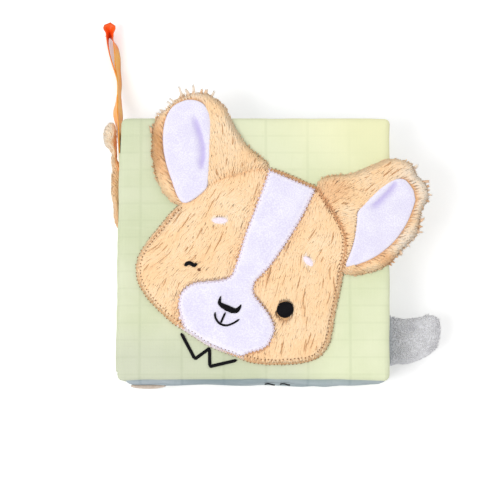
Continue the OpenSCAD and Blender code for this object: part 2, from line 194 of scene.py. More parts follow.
def evenly(outline, step, closed=True):
    """The outline again, counter-clockwise where closed, with points about step apart."""
    p = np.array(outline, float)
    if closed:
        q = np.roll(p, -1, 0)
        if (p[:, 0] * q[:, 1] - p[:, 1] * q[:, 0]).sum() < 0:
            p = p[::-1]
        p = np.concatenate([p, p[:1]])
    run = np.concatenate([[0], np.cumsum(np.linalg.norm(np.diff(p, axis=0), axis=1))])
    count = max(3, round(run[-1] / step))
    at = np.linspace(0, run[-1], count, endpoint=not closed)
    return np.stack([np.interp(at, run, p[:, k]) for k in range(p.shape[1])], 1)


def grid_over(low, high, step):
    return np.meshgrid(np.arange(low[0], high[0], step), np.arange(low[1], high[1], step))


def depth(points, outline):
    """How far each point lies inside a closed outline; below zero outside it."""
    out = []
    a = outline
    b = np.roll(outline, -1, 0)
    e = b - a
    for some in np.array_split(np.asarray(points, float), len(points) // 4000 + 1):
        rel = some[:, None, :] - a
        t = np.clip((rel * e).sum(2) / np.maximum((e * e).sum(1), 1e-12), 0, 1)
        near = np.sqrt(((rel - t[..., None] * e) ** 2).sum(2).min(1))
        x, y = some[:, :1], some[:, 1:2]
        rise = np.where(np.abs(e[:, 1]) < 1e-12, 1e-12, e[:, 1])
        hit = ((a[:, 1] > y) != (b[:, 1] > y)) & (x < e[:, 0] * (y - a[:, 1]) / rise + a[:, 0])
        out.append(np.where(hit.sum(1) % 2 == 1, near, -near))
    return np.concatenate(out)


def smooth(x):
    x = np.clip(x, 0, 1)
    return x * x * (3 - 2 * x)


def dome(d, radius):
    """A quarter-round rise from 0 at the edge to 1 at the radius."""
    return np.sqrt(np.maximum(0, 1 - (1 - np.clip(d / radius, 0, 1)) ** 2))


def waves(seed, shortest, longest, count=7, squeeze=(1.0, 1.0)):
    """A smooth random field of place, about -1 to 1, the same each time."""
    r = np.random.default_rng(seed)
    angle = r.uniform(0, 2 * math.pi, count)
    size = 2 * math.pi / r.uniform(shortest, longest, count)
    phase = r.uniform(0, 2 * math.pi, count)
    share = r.uniform(0.6, 1.0, count)
    kx = np.cos(angle) * size * squeeze[0]
    ky = np.sin(angle) * size * squeeze[1]

    def field(x, y):
        x = np.asarray(x, float)[..., None]
        y = np.asarray(y, float)[..., None]
        return (np.sin(x * kx + y * ky + phase) * share).sum(-1) / math.sqrt(count) * 1.1
    return field


# Materials

def rgb(code):
    """A colour written #RRGGBB, in Blender's linear values."""
    values = [int(code[i:i + 2], 16) / 255 for i in (1, 3, 5)]
    return [v / 12.92 if v <= 0.04045 else ((v + 0.055) / 1.055) ** 2.4 for v in values] + [1.0]


def link(obj):
    bpy.context.scene.collection.objects.link(obj)
    return obj


def add_node(tree, kind, inputs=None, **settings):
    """A new node, with each input set to a value or linked to a socket."""
    made = tree.nodes.new(kind)
    for key, value in settings.items():
        setattr(made, key, value)
    for key, value in (inputs or {}).items():
        if isinstance(value, bpy.types.NodeSocket):
            tree.links.new(value, made.inputs[key])
        else:
            made.inputs[key].default_value = value
    return made


class Finish:
    """A material made of nodes around one Principled shader."""

    def __init__(self, name, roughness, sheen=0.0, specular=0.3, sheen_tint="#FFFFFF"):
        self.material = bpy.data.materials.new(name)
        self.material.use_nodes = True
        self.tree = self.material.node_tree
        self.shader = self.tree.nodes["Principled BSDF"]
        self.shader.inputs["Roughness"].default_value = roughness
        self.shader.inputs["Specular IOR Level"].default_value = specular
        self.shader.inputs["Sheen Weight"].default_value = sheen
        self.shader.inputs["Sheen Roughness"].default_value = 0.5
        self.shader.inputs["Sheen Tint"].default_value = rgb(sheen_tint)
        self.place = self.node("ShaderNodeTexCoord").outputs["Object"]

    def node(self, kind, inputs=None, **settings):
        return add_node(self.tree, kind, inputs, **settings)

    def math(self, operation, a, b=0.0):
        return self.node("ShaderNodeMath", {0: a, 1: b}, operation=operation).outputs[0]

    def mix(self, factor, a, b, blend="MIX"):
        a = rgb(a) if isinstance(a, str) else a
        b = rgb(b) if isinstance(b, str) else b
        made = self.node("ShaderNodeMix", {0: factor, 6: a, 7: b}, data_type="RGBA",
                         blend_type=blend)
        return made.outputs[2]

    def ramp(self, value, low, high, start=0.0, end=1.0):
        """A value spread from low..high to start..end, held at its ends."""
        made = self.node("ShaderNodeMapRange", {0: value, 1: low, 2: high, 3: start, 4: end},
                         interpolation_type="SMOOTHSTEP")
        return made.outputs[0]

    def noise(self, scale, detail=2.0, stretch=(1, 1, 1), distortion=0.0, roughness=0.5):
        place = self.node("ShaderNodeMapping", {"Vector": self.place, "Scale": stretch})
        made = self.node("ShaderNodeTexNoise", {
            "Vector": place.outputs[0], "Scale": scale, "Detail": detail,
            "Distortion": distortion, "Roughness": roughness})
        return made.outputs[0]

    def bands(self, scale, direction, distortion=1.0):
        made = self.node("ShaderNodeTexWave", {
            "Vector": self.place, "Scale": scale, "Distortion": distortion,
            "Detail": 1.0, "Detail Scale": 2.0}, wave_type="BANDS", bands_direction=direction)
        return made.outputs["Fac"]

    def attribute(self, name):
        made = self.node("ShaderNodeAttribute", attribute_name=name)
        return self.node("ShaderNodeSeparateColor", {0: made.outputs["Color"]}).outputs

    def finish(self, colour, bump=None, strength=0.5, distance=0.0003, roughness=None):
        self.tree.links.new(colour, self.shader.inputs["Base Color"])
        if roughness is not None:
            self.tree.links.new(roughness, self.shader.inputs["Roughness"])
        if bump is not None:
            made = self.node("ShaderNodeBump", {
                "Strength": strength, "Distance": distance, "Height": bump})
            self.tree.links.new(made.outputs[0], self.shader.inputs["Normal"])
        return self.material


def muslin_finish(name, pale, deep, line, line_share):
    """Loosely woven cotton with slubs and a faint windowpane check, with painted shade darker
    towards the left and, on the cover, a painted lighter, yellower top-right corner and painted
    shade below the face.
    """
    f = Finish(name, 0.88, sheen=0.12, specular=0.15)
    x, y, _ = f.node("ShaderNodeSeparateXYZ", {0: f.place}).outputs
    cloud = f.noise(22.0, 3.0)
    slub = f.noise(55.0, 3.0, (1, 9, 3))
    slub_up = f.noise(70.0, 2.0, (8, 1, 3))
    colour = f.mix(f.ramp(cloud, 0.35, 0.68), deep, pale)
    colour = f.mix(f.ramp(slub, 0.5, 0.75, 0.0, 0.35), colour, pale)
    colour = f.mix(f.ramp(slub_up, 0.55, 0.8, 0.0, 0.3), colour, deep)
    upright = f.math("PINGPONG", f.math("ADD", x, 0.01656), 0.0116)
    across = f.math("PINGPONG", f.math("ADD", y, 0.0213), 0.00475)
    upright = f.ramp(upright, 0.0002, 0.0013, 1.0, 0.0)
    across = f.ramp(across, 0.0002, 0.0009, 0.55, 0.0)
    faded = f.ramp(f.noise(90.0, 3.0), 0.3, 0.65, 0.25, line_share)
    lines = f.math("MULTIPLY", f.math("MAXIMUM", upright, across), faded)
    colour = f.mix(lines, colour, line)
    # Painted shade: darker towards the left, lighter towards the right.
    colour = f.mix(1.0, colour, f.mix(f.ramp(x, -0.085, 0.05), "#ECECF2", "#FAFAFB"), "MULTIPLY")
    if name == "muslin":
        # Painted light on the cover: a lighter, yellower top-right corner.
        painted_light_corner = f.ramp(f.math("ADD", x, y), 0.05, 0.15)
        colour = f.mix(painted_light_corner, colour, f.mix(f.ramp(cloud, 0.35, 0.68), "#F3F1C2", "#F9F6C8"))
        # Painted shade on the cover below the face.
        low = f.math("MULTIPLY", f.ramp(y, -0.035, -0.062), f.ramp(x, 0.045, 0.015))
        colour = f.mix(1.0, colour, f.mix(low, "#FFFFFF", "#EEEEF4"), "MULTIPLY")
    weft = f.bands(390.0, "Y", 2.5)
    warp = f.bands(390.0, "X", 2.5)
    weave = f.math("MULTIPLY", weft, warp)
    colour = f.mix(f.ramp(weave, 0.0, 0.6, 0.22, 0.0), colour, deep)
    bump = f.math("ADD", f.math("MULTIPLY", weave, 0.35), f.math("MULTIPLY", slub, 0.8))
    return f.finish(colour, bump, 0.45, 0.00035)


def plush_finish(name, light, shade, deep, pile=1500.0):
    """Smooth short pile, with painted shade in its folds and edges and a paler tint, where the
    piece's own attribute says so; the paler tint is a painted highlight on rims and a cream strip on
    the face's backing.
    """
    f = Finish(name, 0.9, sheen=0.35, specular=0.1)
    fold = f.attribute("shade")
    fine = f.noise(pile, 3.0)
    cloud = f.noise(110.0, 3.0)
    colour = f.mix(f.ramp(cloud, 0.35, 0.7), shade, light)
    colour = f.mix(f.ramp(fine, 0.35, 0.7, 0.28, 0.0), colour, deep)
    # Red paints shade; green paints paler, a highlight on rims and a cream strip on the face's
    # backing.
    colour = f.mix(fold[0], colour, deep)
    colour = f.mix(fold[1], colour, "#FBF6FF")
    bump = f.math("ADD", fine, f.math("MULTIPLY", cloud, 1.4))
    return f.finish(colour, bump, 0.5, 0.0004)


def fur_finish(name, root, body, tip, pale, deep):
    """Locks of hair: red is the lock's shade, random tone and, where a piece sets it low, painted
    shade;
    less than 0 goes to the root's colour and less than -1 to a deeper one. Green runs from root to
    tip, with painted shade darker at the root, and blue is the fade."""
    f = Finish(name, 0.78, sheen=0.25, specular=0.2, sheen_tint="#FFF0DC")
    hair = f.attribute("shade")
    # Painted shade: each lock darker towards its root.
    colour = f.mix(f.ramp(hair[1], 0.0, 0.6), root, body)
    colour = f.mix(f.math("MULTIPLY", hair[0], f.ramp(hair[1], 0.1, 0.9)), colour, tip)
    colour = f.mix(f.math("MULTIPLY", hair[0], -1.0), colour, root)
    colour = f.mix(f.math("SUBTRACT", -1.0, hair[0]), colour, deep)
    colour = f.mix(hair[2], colour, pale)
    fine = f.noise(900.0, 2.0)
    colour = f.mix(f.ramp(fine, 0.4, 0.75, 0.1, 0.0), colour, root)
    return f.finish(colour, fine, 0.3, 0.0002)


def thread_finish(name, colour, glint, roughness=0.42):
    """Embroidery thread with the faint twist of its strands, and a painted glint where the noise
    lifts them.
    """
    f = Finish(name, roughness, specular=0.15)
    strand = f.noise(2600.0, 2.0)
    mixed = f.mix(f.ramp(strand, 0.35, 0.7), colour, glint)
    return f.finish(mixed, strand, 0.4, 0.00012)


def ribbon_finish(name):
    """Satin, with painted light: deeper red where light comes through the loop's bend."""
    f = Finish(name, 0.4, sheen=0.05, specular=0.4, sheen_tint="#FFD9A0")
    painted_bend_glow = f.attribute("shade")
    ribs = f.bands(520.0, "Y", 0.6)
    cloud = f.noise(120.0, 2.0)
    colour = f.mix(f.ramp(cloud, 0.35, 0.65), "#FF9D1C", "#FFB840")
    colour = f.mix(f.ramp(ribs, 0.2, 0.9, 0.15, 0.0), colour, "#E5810E")
    # Painted light: red where light comes through the bend.
    colour = f.mix(painted_bend_glow[0], colour, "#FF6216")
    return f.finish(colour, ribs, 0.25, 0.00012)


MUSLIN = muslin_finish("muslin", "#EDF2CF", "#DFE7BE", "#BCC79C", 0.2)
PAGE = muslin_finish("page_cloth", "#BFCACC", "#9AAAAE", "#8798A0", 0.4)
PEACH = fur_finish("peach_fur", "#F1C090", "#FFD9AA", "#FFEACB", "#F5EEE2", "#CC955E")
# Painted shade: dark locks that lie in the fur's partings.
CLEFT_SHADE = fur_finish("peach_cleft_shade", "#CC9664", "#DAA674", "#E8BA88", "#DCCCB8", "#B07A4C")
BACKING = plush_finish("peach_backing", "#F6C793", "#EDBA84", "#D09A66")
LILAC = plush_finish("lilac_plush", "#F8F6FE", "#F0EDFB", "#B6A6E4")
GREY = plush_finish("grey_plush", "#F2F2F5", "#E8E8EC", "#A5A5AC", 900.0)
GREY_PILE = fur_finish("grey_pile", "#D2D2D7", "#EAEAEE", "#F8F8FA", "#FCFCFD", "#A0A0A8")
BEIGE = plush_finish("beige_plush", "#E6D6C8", "#D6C2B1", "#B09680", 900.0)
DARK = thread_finish("dark_thread", "#030206", "#0B0910", 0.6)
PALE = thread_finish("pale_thread", "#F9EAF5", "#FFF8FD", 0.5)
TAN = thread_finish("tan_thread", "#DDA878", "#F0C496", 0.6)
BROWN = thread_finish("brown_thread", "#7B5238", "#94684A", 0.7)
MAUVE = thread_finish("mauve_thread", "#BBAAC8", "#CFC2DC", 0.7)
SATIN = ribbon_finish("satin_ribbon")


# Meshes

def make(name, parts, material):
    """One closed mesh object from parts: points in mm, faces and, for some, a shade each."""
    points, faces, shades, start = [], [], [], 0
    for part_points, part_faces, *part_shade in parts:
        points.append(np.asarray(part_points, float))
        shades.extend(part_shade)
        for block in part_faces:
            faces.extend((np.asarray(block) + start).tolist())
        start += len(part_points)
    points = np.concatenate(points) * MM
    mesh = bpy.data.meshes.new(name)
    mesh.from_pydata(points.tolist(), [], faces)
    mesh.polygons.foreach_set("use_smooth", [True] * len(mesh.polygons))
    if shades:
        layer = mesh.attributes.new("shade", "FLOAT_COLOR", "POINT")
        flat = np.ones((len(points), 4))
        flat[:, :3] = np.concatenate(shades)
        layer.data.foreach_set("color", flat.ravel())
    mesh.materials.append(material)
    mesh.update()
    return link(bpy.data.objects.new(name, mesh))


def outward(points, blocks):
    """The blocks of faces, turned over if they enclose the points inside out."""
    total = 0.0
    for block in blocks:
        f = np.asarray(block)
        for k in range(1, f.shape[1] - 1):
            a, b, c = points[f[:, 0]], points[f[:, k]], points[f[:, k + 1]]
            total += (a * np.cross(b, c)).sum()
    return [np.asarray(b)[:, ::-1] for b in blocks] if total < 0 else blocks


def pad(outline, step, seam, top, bottom, rims=(0.3, 0.8, 1.6, 2.8), edge_step=None):
    """A closed pad over an outline. seam, top and bottom give a height from x, y and depth."""
    rim = evenly(outline, edge_step or step * 0.6)
    ahead = np.roll(rim, -1, 0) - np.roll(rim, 1, 0)
    inward = left_of(ahead)
    spread = [rim]
    for r in rims:
        q = rim + inward * r
        q = q[depth(q, rim) > r * 0.93]
        spread.append(q[::1 + int(r > step)])
    gx, gy = grid_over(rim.min(0), rim.max(0), step)
    gx[1::2] += step / 2
    inner = np.stack([gx.ravel(), gy.ravel()], 1)
    inner = inner[depth(inner, rim) > rims[-1] + step * 0.45]
    spread.append(inner)
    flat = np.concatenate(spread)
    found = delaunay_2d_cdt([Vector(p) for p in flat], [], [list(range(len(rim)))], 1, 1e-5)
    flat = np.array([list(p) for p in found[0]])
    tris = np.array([f for f in found[2] if len(f) == 3])
    a, b, c = flat[tris[:, 0]], flat[tris[:, 1]], flat[tris[:, 2]]
    turn = (b[:, 0] - a[:, 0]) * (c[:, 1] - a[:, 1]) - (b[:, 1] - a[:, 1]) * (c[:, 0] - a[:, 0])
    tris[turn < 0] = tris[turn < 0][:, ::-1]
    d = depth(flat, rim)
    on_rim = d < 1e-3
    d[on_rim] = 0
    tris = tris[~on_rim[tris].all(1)]
    x, y = flat.T
    rim_z = seam(x, y, d)
    upper = np.column_stack([x, y, np.where(on_rim, rim_z, top(x, y, d))])
    lower = np.column_stack([x, y, bottom(x, y, d)])[~on_rim]
    under = np.arange(len(flat))
    under[~on_rim] = len(flat) + np.arange((~on_rim).sum())
    points = np.concatenate([upper, lower])
    faces = [tris, under[tris][:, ::-1]]
    depths = np.concatenate([d, d[~on_rim]])
    return points, faces, depths


def sheet_solid(grid, thickness):
    """A closed thin sheet around a grid of points."""
    m, n, _ = grid.shape
    du = np.gradient(grid, axis=0)
    dv = np.gradient(grid, axis=1)
    normal = np.cross(du, dv)
    normal /= np.maximum(np.linalg.norm(normal, axis=2), 1e-9)[..., None]
    points = np.concatenate([(grid + normal * thickness / 2).reshape(-1, 3),
                             (grid - normal * thickness / 2).reshape(-1, 3)])
    at = np.arange(m * n).reshape(m, n)
    quad = np.stack([at[:-1, :-1], at[1:, :-1], at[1:, 1:], at[:-1, 1:]], -1).reshape(-1, 4)
    loop = np.concatenate([at[:-1, 0], at[-1, :-1], at[:0:-1, -1], at[0, :0:-1]])
    ahead = np.roll(loop, -1)
    edge = np.stack([ahead, loop, loop + m * n, ahead + m * n], 1)
    faces = [quad, quad[:, ::-1] + m * n, edge]
    return points, outward(points, faces)


def strung(kinds, count, each):
    """The faces of many alike pieces, whose points follow one another."""
    start = np.arange(count)[:, None, None] * each
    return [(np.array(kind)[None] + start).reshape(-1, len(kind[0])) for kind in kinds]


def locks(path, width, height, shade):
    """Tapered three-sided locks of hair. path is N x 4 x 3, and shade N x 2."""
    n = len(path)
    ahead = path[:, 1] - path[:, 0]
    side = np.column_stack([left_of(ahead), np.zeros(n)])
    rings = []
    for k, share in enumerate((0.75, 1.0, 0.62)):
        half = (width * share / 2)[:, None] * side
        rise = (height * share)[:, None] * UP
        rings += [path[:, k] + half, path[:, k] + rise, path[:, k] - half]
    points = np.stack(rings + [path[:, 3]], 1)
    quads = [[k * 3 + i, k * 3 + (i + 1) % 3, k * 3 + 3 + (i + 1) % 3, k * 3 + 3 + i]
             for k in (0, 1) for i in range(3)]
    tris = [[0, 2, 1]] + [[6 + i, 6 + (i + 1) % 3, 9] for i in range(3)]
    faces = strung((quads, tris), n, 10)
    along = np.repeat([0.0, 0.4, 0.75, 1.0], [3, 3, 3, 1])
    tone = np.stack([np.repeat(shade[:, :1], 10, 1), np.tile(along, (n, 1)),
                     shade[:, 1:2] * along ** 0.4], 2)
    points = points.reshape(-1, 3)
    return points, outward(points, faces), tone.reshape(-1, 3)


def bars(a, b, radius, bow=0.0, sides=6):
    """Stitches: short threads from a to b that arch up by bow and dip in at both ends."""
    a, b = np.asarray(a, float), np.asarray(b, float)
    n = len(a)
    ahead = b - a
    side = np.column_stack([left_of(ahead), np.zeros(n)])
    radius = np.broadcast_to(radius, n)[:, None]
    bow = np.broadcast_to(bow, n)[:, None]
    rings = []
    for t, share in ((0.0, 0.45), (0.1, 0.9), (0.5, 1.0), (0.9, 0.9), (1.0, 0.45)):
        middle = a + ahead * t + UP * bow * (4 * t * (1 - t)) ** 0.6
        for k in range(sides):
            angle = 2 * math.pi * k / sides
            rings.append(middle + radius * share * (math.cos(angle) * side + math.sin(angle) * UP))
    points = np.stack(rings, 1)
    quads = [[k * sides + i, k * sides + (i + 1) % sides, (k + 1) * sides + (i + 1) % sides,
              (k + 1) * sides + i] for k in range(4) for i in range(sides)]
    caps = [list(range(sides))[::-1], list(range(4 * sides, 5 * sides))]
    faces = strung((quads, caps), n, sides * 5)
    points = points.reshape(-1, 3)
    return points, outward(points, faces)


def level(z):
    return lambda x, y, d: np.full(np.shape(x), float(z))


def lens(middle, half):
    """The seam, top and bottom of a pad that swells alike on both sides."""
    return (level(middle), lambda x, y, d: middle + half(x, y, d),
            lambda x, y, d: middle - half(x, y, d))


def satin_fill(outline, degrees, pitch, z, swell, radius=None):
    """Threads side by side over an outline, with a thin pad under them."""
    turned_in = turned(outline, -degrees)
    a, b = turned_in, np.roll(turned_in, -1, 0)
    low, high = turned_in[:, 1].min(), turned_in[:, 1].max()
    starts, ends = [], []
    for v in np.arange(low + pitch / 2, high, pitch):
        cut = (a[:, 1] > v) != (b[:, 1] > v)
        t = (v - a[cut, 1]) / (b[cut, 1] - a[cut, 1])
        xs = np.sort(a[cut, 0] + t * (b[cut, 0] - a[cut, 0]))
        for left, right in zip(xs[::2], xs[1::2]):
            starts.append([left, v])
            ends.append([right, v])
    starts, ends = turned(starts, degrees), turned(ends, degrees)
    lay = z + swell * 0.25
    threads = bars(np.column_stack([starts, np.full(len(starts), lay)]),
                   np.column_stack([ends, np.full(len(ends), lay)]),
                   radius or pitch * 0.62, swell * 0.7)
    under = pad(outline, 1.0, level(z - 0.3), lambda x, y, d: z + swell * 0.7 * dome(d, 1.2),
                level(z - 0.6), rims=(0.3, 0.7), edge_step=0.5)
    return [threads, under[:2]]


def satin_line(points, width, pitch, z, swell, slant=25.0):
    """A line of close stitches across a route, such as an embroidered stroke."""
    route = evenly(points, pitch, closed=False)
    lean = turned(left_of(np.gradient(route, axis=0)), -slant)
    ends = np.minimum(1, 0.45 + np.minimum(np.arange(len(route)), np.arange(len(route))[::-1]) * 0.3)
    half = lean * (width / 2 * ends)[:, None]
    lift = np.full(len(route), z)
    return bars(np.column_stack([route - half, lift]), np.column_stack([route + half, lift]),
                pitch * 0.75, swell)


def piece(obj, body, slot, *nodes):
    """What every piece says: its body, its finish's slot, which is not used, and the nodes that it
    stands for.
    """
    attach(obj, body)
    if nodes:
        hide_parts(*nodes)
    return obj


# Camera: nearly overhead, from just past the bottom edge

CAMERA_AWAY = 1.03
CAMERA_RISE = math.radians(83.0)
AIM = Vector((-0.0022, 0.0, 0.039))
camera = link(bpy.data.objects.new("camera", bpy.data.cameras.new("camera")))
camera.data.sensor_width = 36.0
camera.data.lens = 134.0
camera.location = AIM + CAMERA_AWAY * Vector((0, -math.cos(CAMERA_RISE), math.sin(CAMERA_RISE)))
camera.rotation_euler = (AIM - camera.location).to_track_quat("-Z", "Y").to_euler()
bpy.context.scene.camera = camera

# Covers and leaves

def rounded_rectangle(x0, x1, y0, y1, radius, steps=6):
    out = []
    corners = ((x1, y1, 0), (x0, y1, 90), (x0, y0, 180), (x1, y0, 270))
    for cx, cy, start in corners:
        mx = cx - radius if cx == x1 else cx + radius
        my = cy - radius if cy == y1 else cy + radius
        for k in range(steps + 1):
            a = math.radians(start + 90 * k / steps)
            out.append([mx + radius * math.cos(a), my + radius * math.sin(a)])
    return np.array(out)


def uneven(outline, seed, amount, longest=60.0):
    """Lets an outline wander a little, as sewn cloth does."""
    fx, fy = waves(seed, 18.0, longest), waves(seed + 1, 18.0, longest)
    x, y = outline.T
    return np.stack([x + amount * fx(x, y), y + amount * fy(x, y)], 1)


def puckers(seed, depth_mm, reach=5.0):
    """Small tucks that run in from each sewn edge."""
    along_x, along_y = waves(seed, 5.0, 12.0), waves(seed + 1, 5.0, 12.0)

    def field(x, y):
        near_side = np.exp(-(HALF_W - np.abs(x)) / reach)
        near_end = np.exp(-(HALF_H - np.abs(y)) / reach)
        return depth_mm * (near_side * along_y(y * 0, y) + near_end * along_x(x, x * 0))
    return field


def cover_outline(seed, top, bottom):
    """A cover's sewn edge between its top and bottom lines, leaning a little as it lies."""
    outline = evenly(rounded_rectangle(-HALF_W, HALF_W, -HALF_H, HALF_H, 3.2), 1.2)
    outline = uneven(outline, seed, 0.25)
    lean = outline[:, 1] / HALF_H
    outline[:, 0] += np.where(outline[:, 0] < 0, 0.6 * lean, 0.35 + 0.65 * lean)
    bulge = 1 - (outline[:, 0] / HALF_W) ** 4
    outline[:, 1] = np.interp(outline[:, 1], [-HALF_H, HALF_H], [bottom, top])
    outline[:, 1] += 1.1 * bulge * smooth(-outline[:, 1] / 60.0 - 0.15)
    return outline


def cover(name, z0, outline, seed, outer_up):
    """A padded cover: two cloths over a flat filling, sewn together round the edge."""
    tuck = puckers(seed + 5, 0.3)
    swell = waves(seed + 9, 22.0, 70.0)
    wrinkle = waves(seed + 11, 8.0, 22.0, 8, (0.6, 1.6))
    middle = z0 + COVER_T / 2

    def half(x, y, d):
        crown = 0.35 * (1 - (x / HALF_W) ** 2) * (1 - (y / HALF_H) ** 2)
        return (COVER_T / 2 - 0.45) * dome(d, 3.6) + crown * smooth(d / 8)

    def loose(x, y, d):
        return smooth(d / 3) * (0.22 * swell(x, y) + 0.12 * wrinkle(x, y) + tuck(x, y))

    def top(x, y, d):
        return middle + half(x, y, d) + loose(x, y, d) * (1 if outer_up else 0.4)

    def bottom(x, y, d):
        return middle - half(x, y, d) + loose(x, y, d) * (0.4 if outer_up else 1)

    shape = pad(outline, 2.2, level(middle), top, bottom, rims=(0.25, 0.7, 1.4, 2.4, 3.6),
                edge_step=1.2)
    return make(name, [shape[:2]], MUSLIN)


front_outline = cover_outline(21, 74.7, -72.4)
back_outline = cover_outline(47, 73.6, -71.2)
front = piece(cover("front_cover_pad", FRONT_Z, front_outline, 21, True), "front", "muslin",
              "front_cover")
back = piece(cover("back_cover_pad", 0.0, back_outline, 47, False), "back", "muslin", "back_cover")


def leaf(index):
    """One padded leaf, its sewn edge rising and falling along the open sides."""
    outline = evenly(rounded_rectangle(LEAF_X0, LEAF_X1, -LEAF_Y, LEAF_Y, 5.0), 1.4)
    outline = uneven(outline, 60 + index, 0.45, 45.0)
    outline[:, 0] = np.maximum(outline[:, 0], LEAF_X0)
    outline[:, 1] = np.clip(outline[:, 1], -LEAF_Y - 0.6, LEAF_Y + 0.3)
    wave = np.interp(outline[:, 0], [-75, -50, -25, -2, 4, 13, 24, 40, 55, 66, 75],
                     [0.3, -0.2, 0.3, 0.0, 0.7, 0.9, -0.1, -1.0, -0.1, 1.0, 0.9])
    outline[:, 1] += wave * smooth(-outline[:, 1] / LEAF_Y) * (0.6 + 0.4 * (index > 0))
    rise = waves(70, 20.0, 48.0)
    own = waves(80 + index, 14.0, 30.0)
    tuck = puckers(90 + index, 0.35, 4.0)
    middle = LEAVES_Z + LEAF_T * (index + 0.5)
    inner = min(index, LEAF_COUNT - 1 - index)

    def seam(x, y, d):
        return middle + (0.55 * rise(x, y) + 0.35 * own(x, y)) * (0.4 + 0.5 * inner)

    def half(x, y, d):
        return (LEAF_T / 2 - 0.12) * dome(d, 3.2) * (1 - 0.06 * smooth(1 - d / 14))

    def blend_level(x, y, d):
        return middle + (seam(x, y, d) - middle) * smooth(1 - d / 3.0)

    def top(x, y, d):
        return blend_level(x, y, d) + half(x, y, d) + smooth(d / 2) * np.minimum(tuck(x, y), 0.1)

    def bottom(x, y, d):
        return blend_level(x, y, d) - half(x, y, d)

    shape = pad(outline, 2.6, seam, top, bottom, rims=(0.25, 0.7, 1.5, 3.0), edge_step=1.3)
    return make("leaf_%d" % (index + 1), [shape[:2]], PAGE)


for number in range(LEAF_COUNT):
    piece(leaf(number), "block", "page_cloth", "pages")

# Spine cloth, and the strips of cover cloth that run over the hinges

def spine_cloth():
    z = np.linspace(LEAVES_Z + 0.4, LEAVES_Z + LEAF_COUNT * LEAF_T - 0.4, 14)
    y = np.linspace(-SPINE_HALF, SPINE_HALF, 110)
    zz, yy = np.meshgrid(z, y, indexing="ij")
    share = (zz - z[0]) / (z[-1] - z[0])
    puff = waves(31, 9.0, 26.0)(yy, zz)
    xx = SPINE_X - 0.35 * np.sin(math.pi * share) - 0.14 * puff * np.sin(math.pi * share)
    return sheet_solid(np.stack([xx, yy, zz], 2), SPINE_THICK)


def hinge_strip(turn_z, side, outline, y1):
    """Cloth from the spine, over a hinge at height turn_z, up to the cover's own seam."""
    section = spline([[-75.2, -6.4], [-75.4, -4.6], [-75.35, -2.6], [-74.95, -0.6],
                      [-75.15, 0.8], [-75.45, 2.0], [-75.2, 3.1], [-74.6, 3.7]], False, 4)
    left = outline[outline[:, 0] < -HALF_W / 2]
    left = left[np.argsort(left[:, 1])]
    y = np.linspace(HINGE_Y0, y1, 110)
    follow = np.interp(y, left[:, 1], left[:, 0]) + HALF_W
    xx = np.repeat(section[:, :1], len(y), 1)
    zz = turn_z + side * np.repeat(section[:, 1:], len(y), 1)
    yy = np.repeat(y[None], len(section), 0)
    share = smooth((side * (zz - turn_z)) / 2.0)
    xx = xx + follow[None] * share + 0.1 * waves(33, 7.0, 16.0)(yy, zz)
    return sheet_solid(np.stack([xx, yy, zz], 2), HINGE_THICK)


spine = make("spine_cloth", [spine_cloth()], MUSLIN)
piece(spine, "block", "muslin", "spine")
for label, turn_z, side, outline, y1 in (("front", FRONT_Z, 1, front_outline, 55.0),
                                         ("back", COVER_T, -1, back_outline, 67.0)):
    strip = make(label + "_hinge_cloth", [hinge_strip(turn_z, side, outline, y1)], MUSLIN)
    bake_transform(strip)

# Furry face

face_outline = evenly(on_face(spline(percent(FACE, FACE_W, FACE_H), True, 6)), 1.0)
blaze_outline = on_face(profile(BLAZE, FACE_W, FACE_H))
inside = depth(blaze_outline, face_outline)
rise = np.stack([depth(blaze_outline + step, face_outline) - inside
                 for step in ((0.2, 0), (0, 0.2))], 1) / 0.2
near = smooth((5.5 - inside) / 2.5) * smooth((-38.0 - blaze_outline[:, 1]) / 6.0)
blaze_outline = blaze_outline - rise * (near * np.clip(inside - 0.9, 0, 4))[:, None]
blaze_outline = evenly(blaze_outline, 0.8)
left_ear_outline, right_ear_outline = (
    evenly(on_ear(spline(percent(ear["fur"], *ear["size"]), True, 5), ear), 1.0)
    for ear in (LEFT_EAR, RIGHT_EAR))
EYE_AT = face_spot([24.5, -16.9])
WINK_AT = face_spot([-25.7, -14]) + (0.2, 0.1)
WINK_DOT_AT = face_spot([-20.9, -15.2]) + (0.1, 0.0)
LEFT_BROW_AT = face_spot([-20.9, 13.1])
RIGHT_BROW_AT = face_spot([25.6, 11.4])
SKIN_Z = TOP_Z + 1.9


def oval(middle, length, width, degrees, count=40):
    a = np.linspace(0, 2 * math.pi, count, endpoint=False)
    return turned(np.stack([length / 2 * np.cos(a), width / 2 * np.sin(a)], 1), degrees) + middle


left_brow = oval(LEFT_BROW_AT, 8.4, 3.9, 0.0)
right_brow = oval(RIGHT_BROW_AT, 6.8, 3.9, 2 * FACE_TURN)
wink_bar = np.array([[-3.3, -0.9], [-1.7, 0.1], [-0.3, 0.1], [1.7, -0.9], [3.3, -0.5]]) + WINK_AT


def skin_top(x, y, d):
    """The fur's own backing, which swells between its stitched edges."""
    puff = waves(101, 16.0, 44.0)(x, y)
    return TOP_Z + 0.1 + 1.7 * dome(d, 5.0) + 0.22 * puff * smooth(d / 8)


points, faces, _ = pad(face_outline, 2.0, level(TOP_Z - 0.05), skin_top, level(TOP_Z - 0.5),
                       rims=(0.3, 0.9, 2.0))
by_muzzle = smooth((points[:, 0] + 58) / 8) * smooth((-12 - points[:, 0]) / 10)
by_muzzle *= smooth((depth(points[:, :2], blaze_outline) + 4.5) / 1.5)
skin_tone = np.column_stack([by_muzzle * 0, 0.85 * by_muzzle, by_muzzle * 0])
face_skin = make("face_backing", [(points, faces, skin_tone)], BACKING)
piece(face_skin, "front", "peach_fur", "face_fur")


def skin_at(p):
    return skin_top(*p.T, depth(p, face_outline))


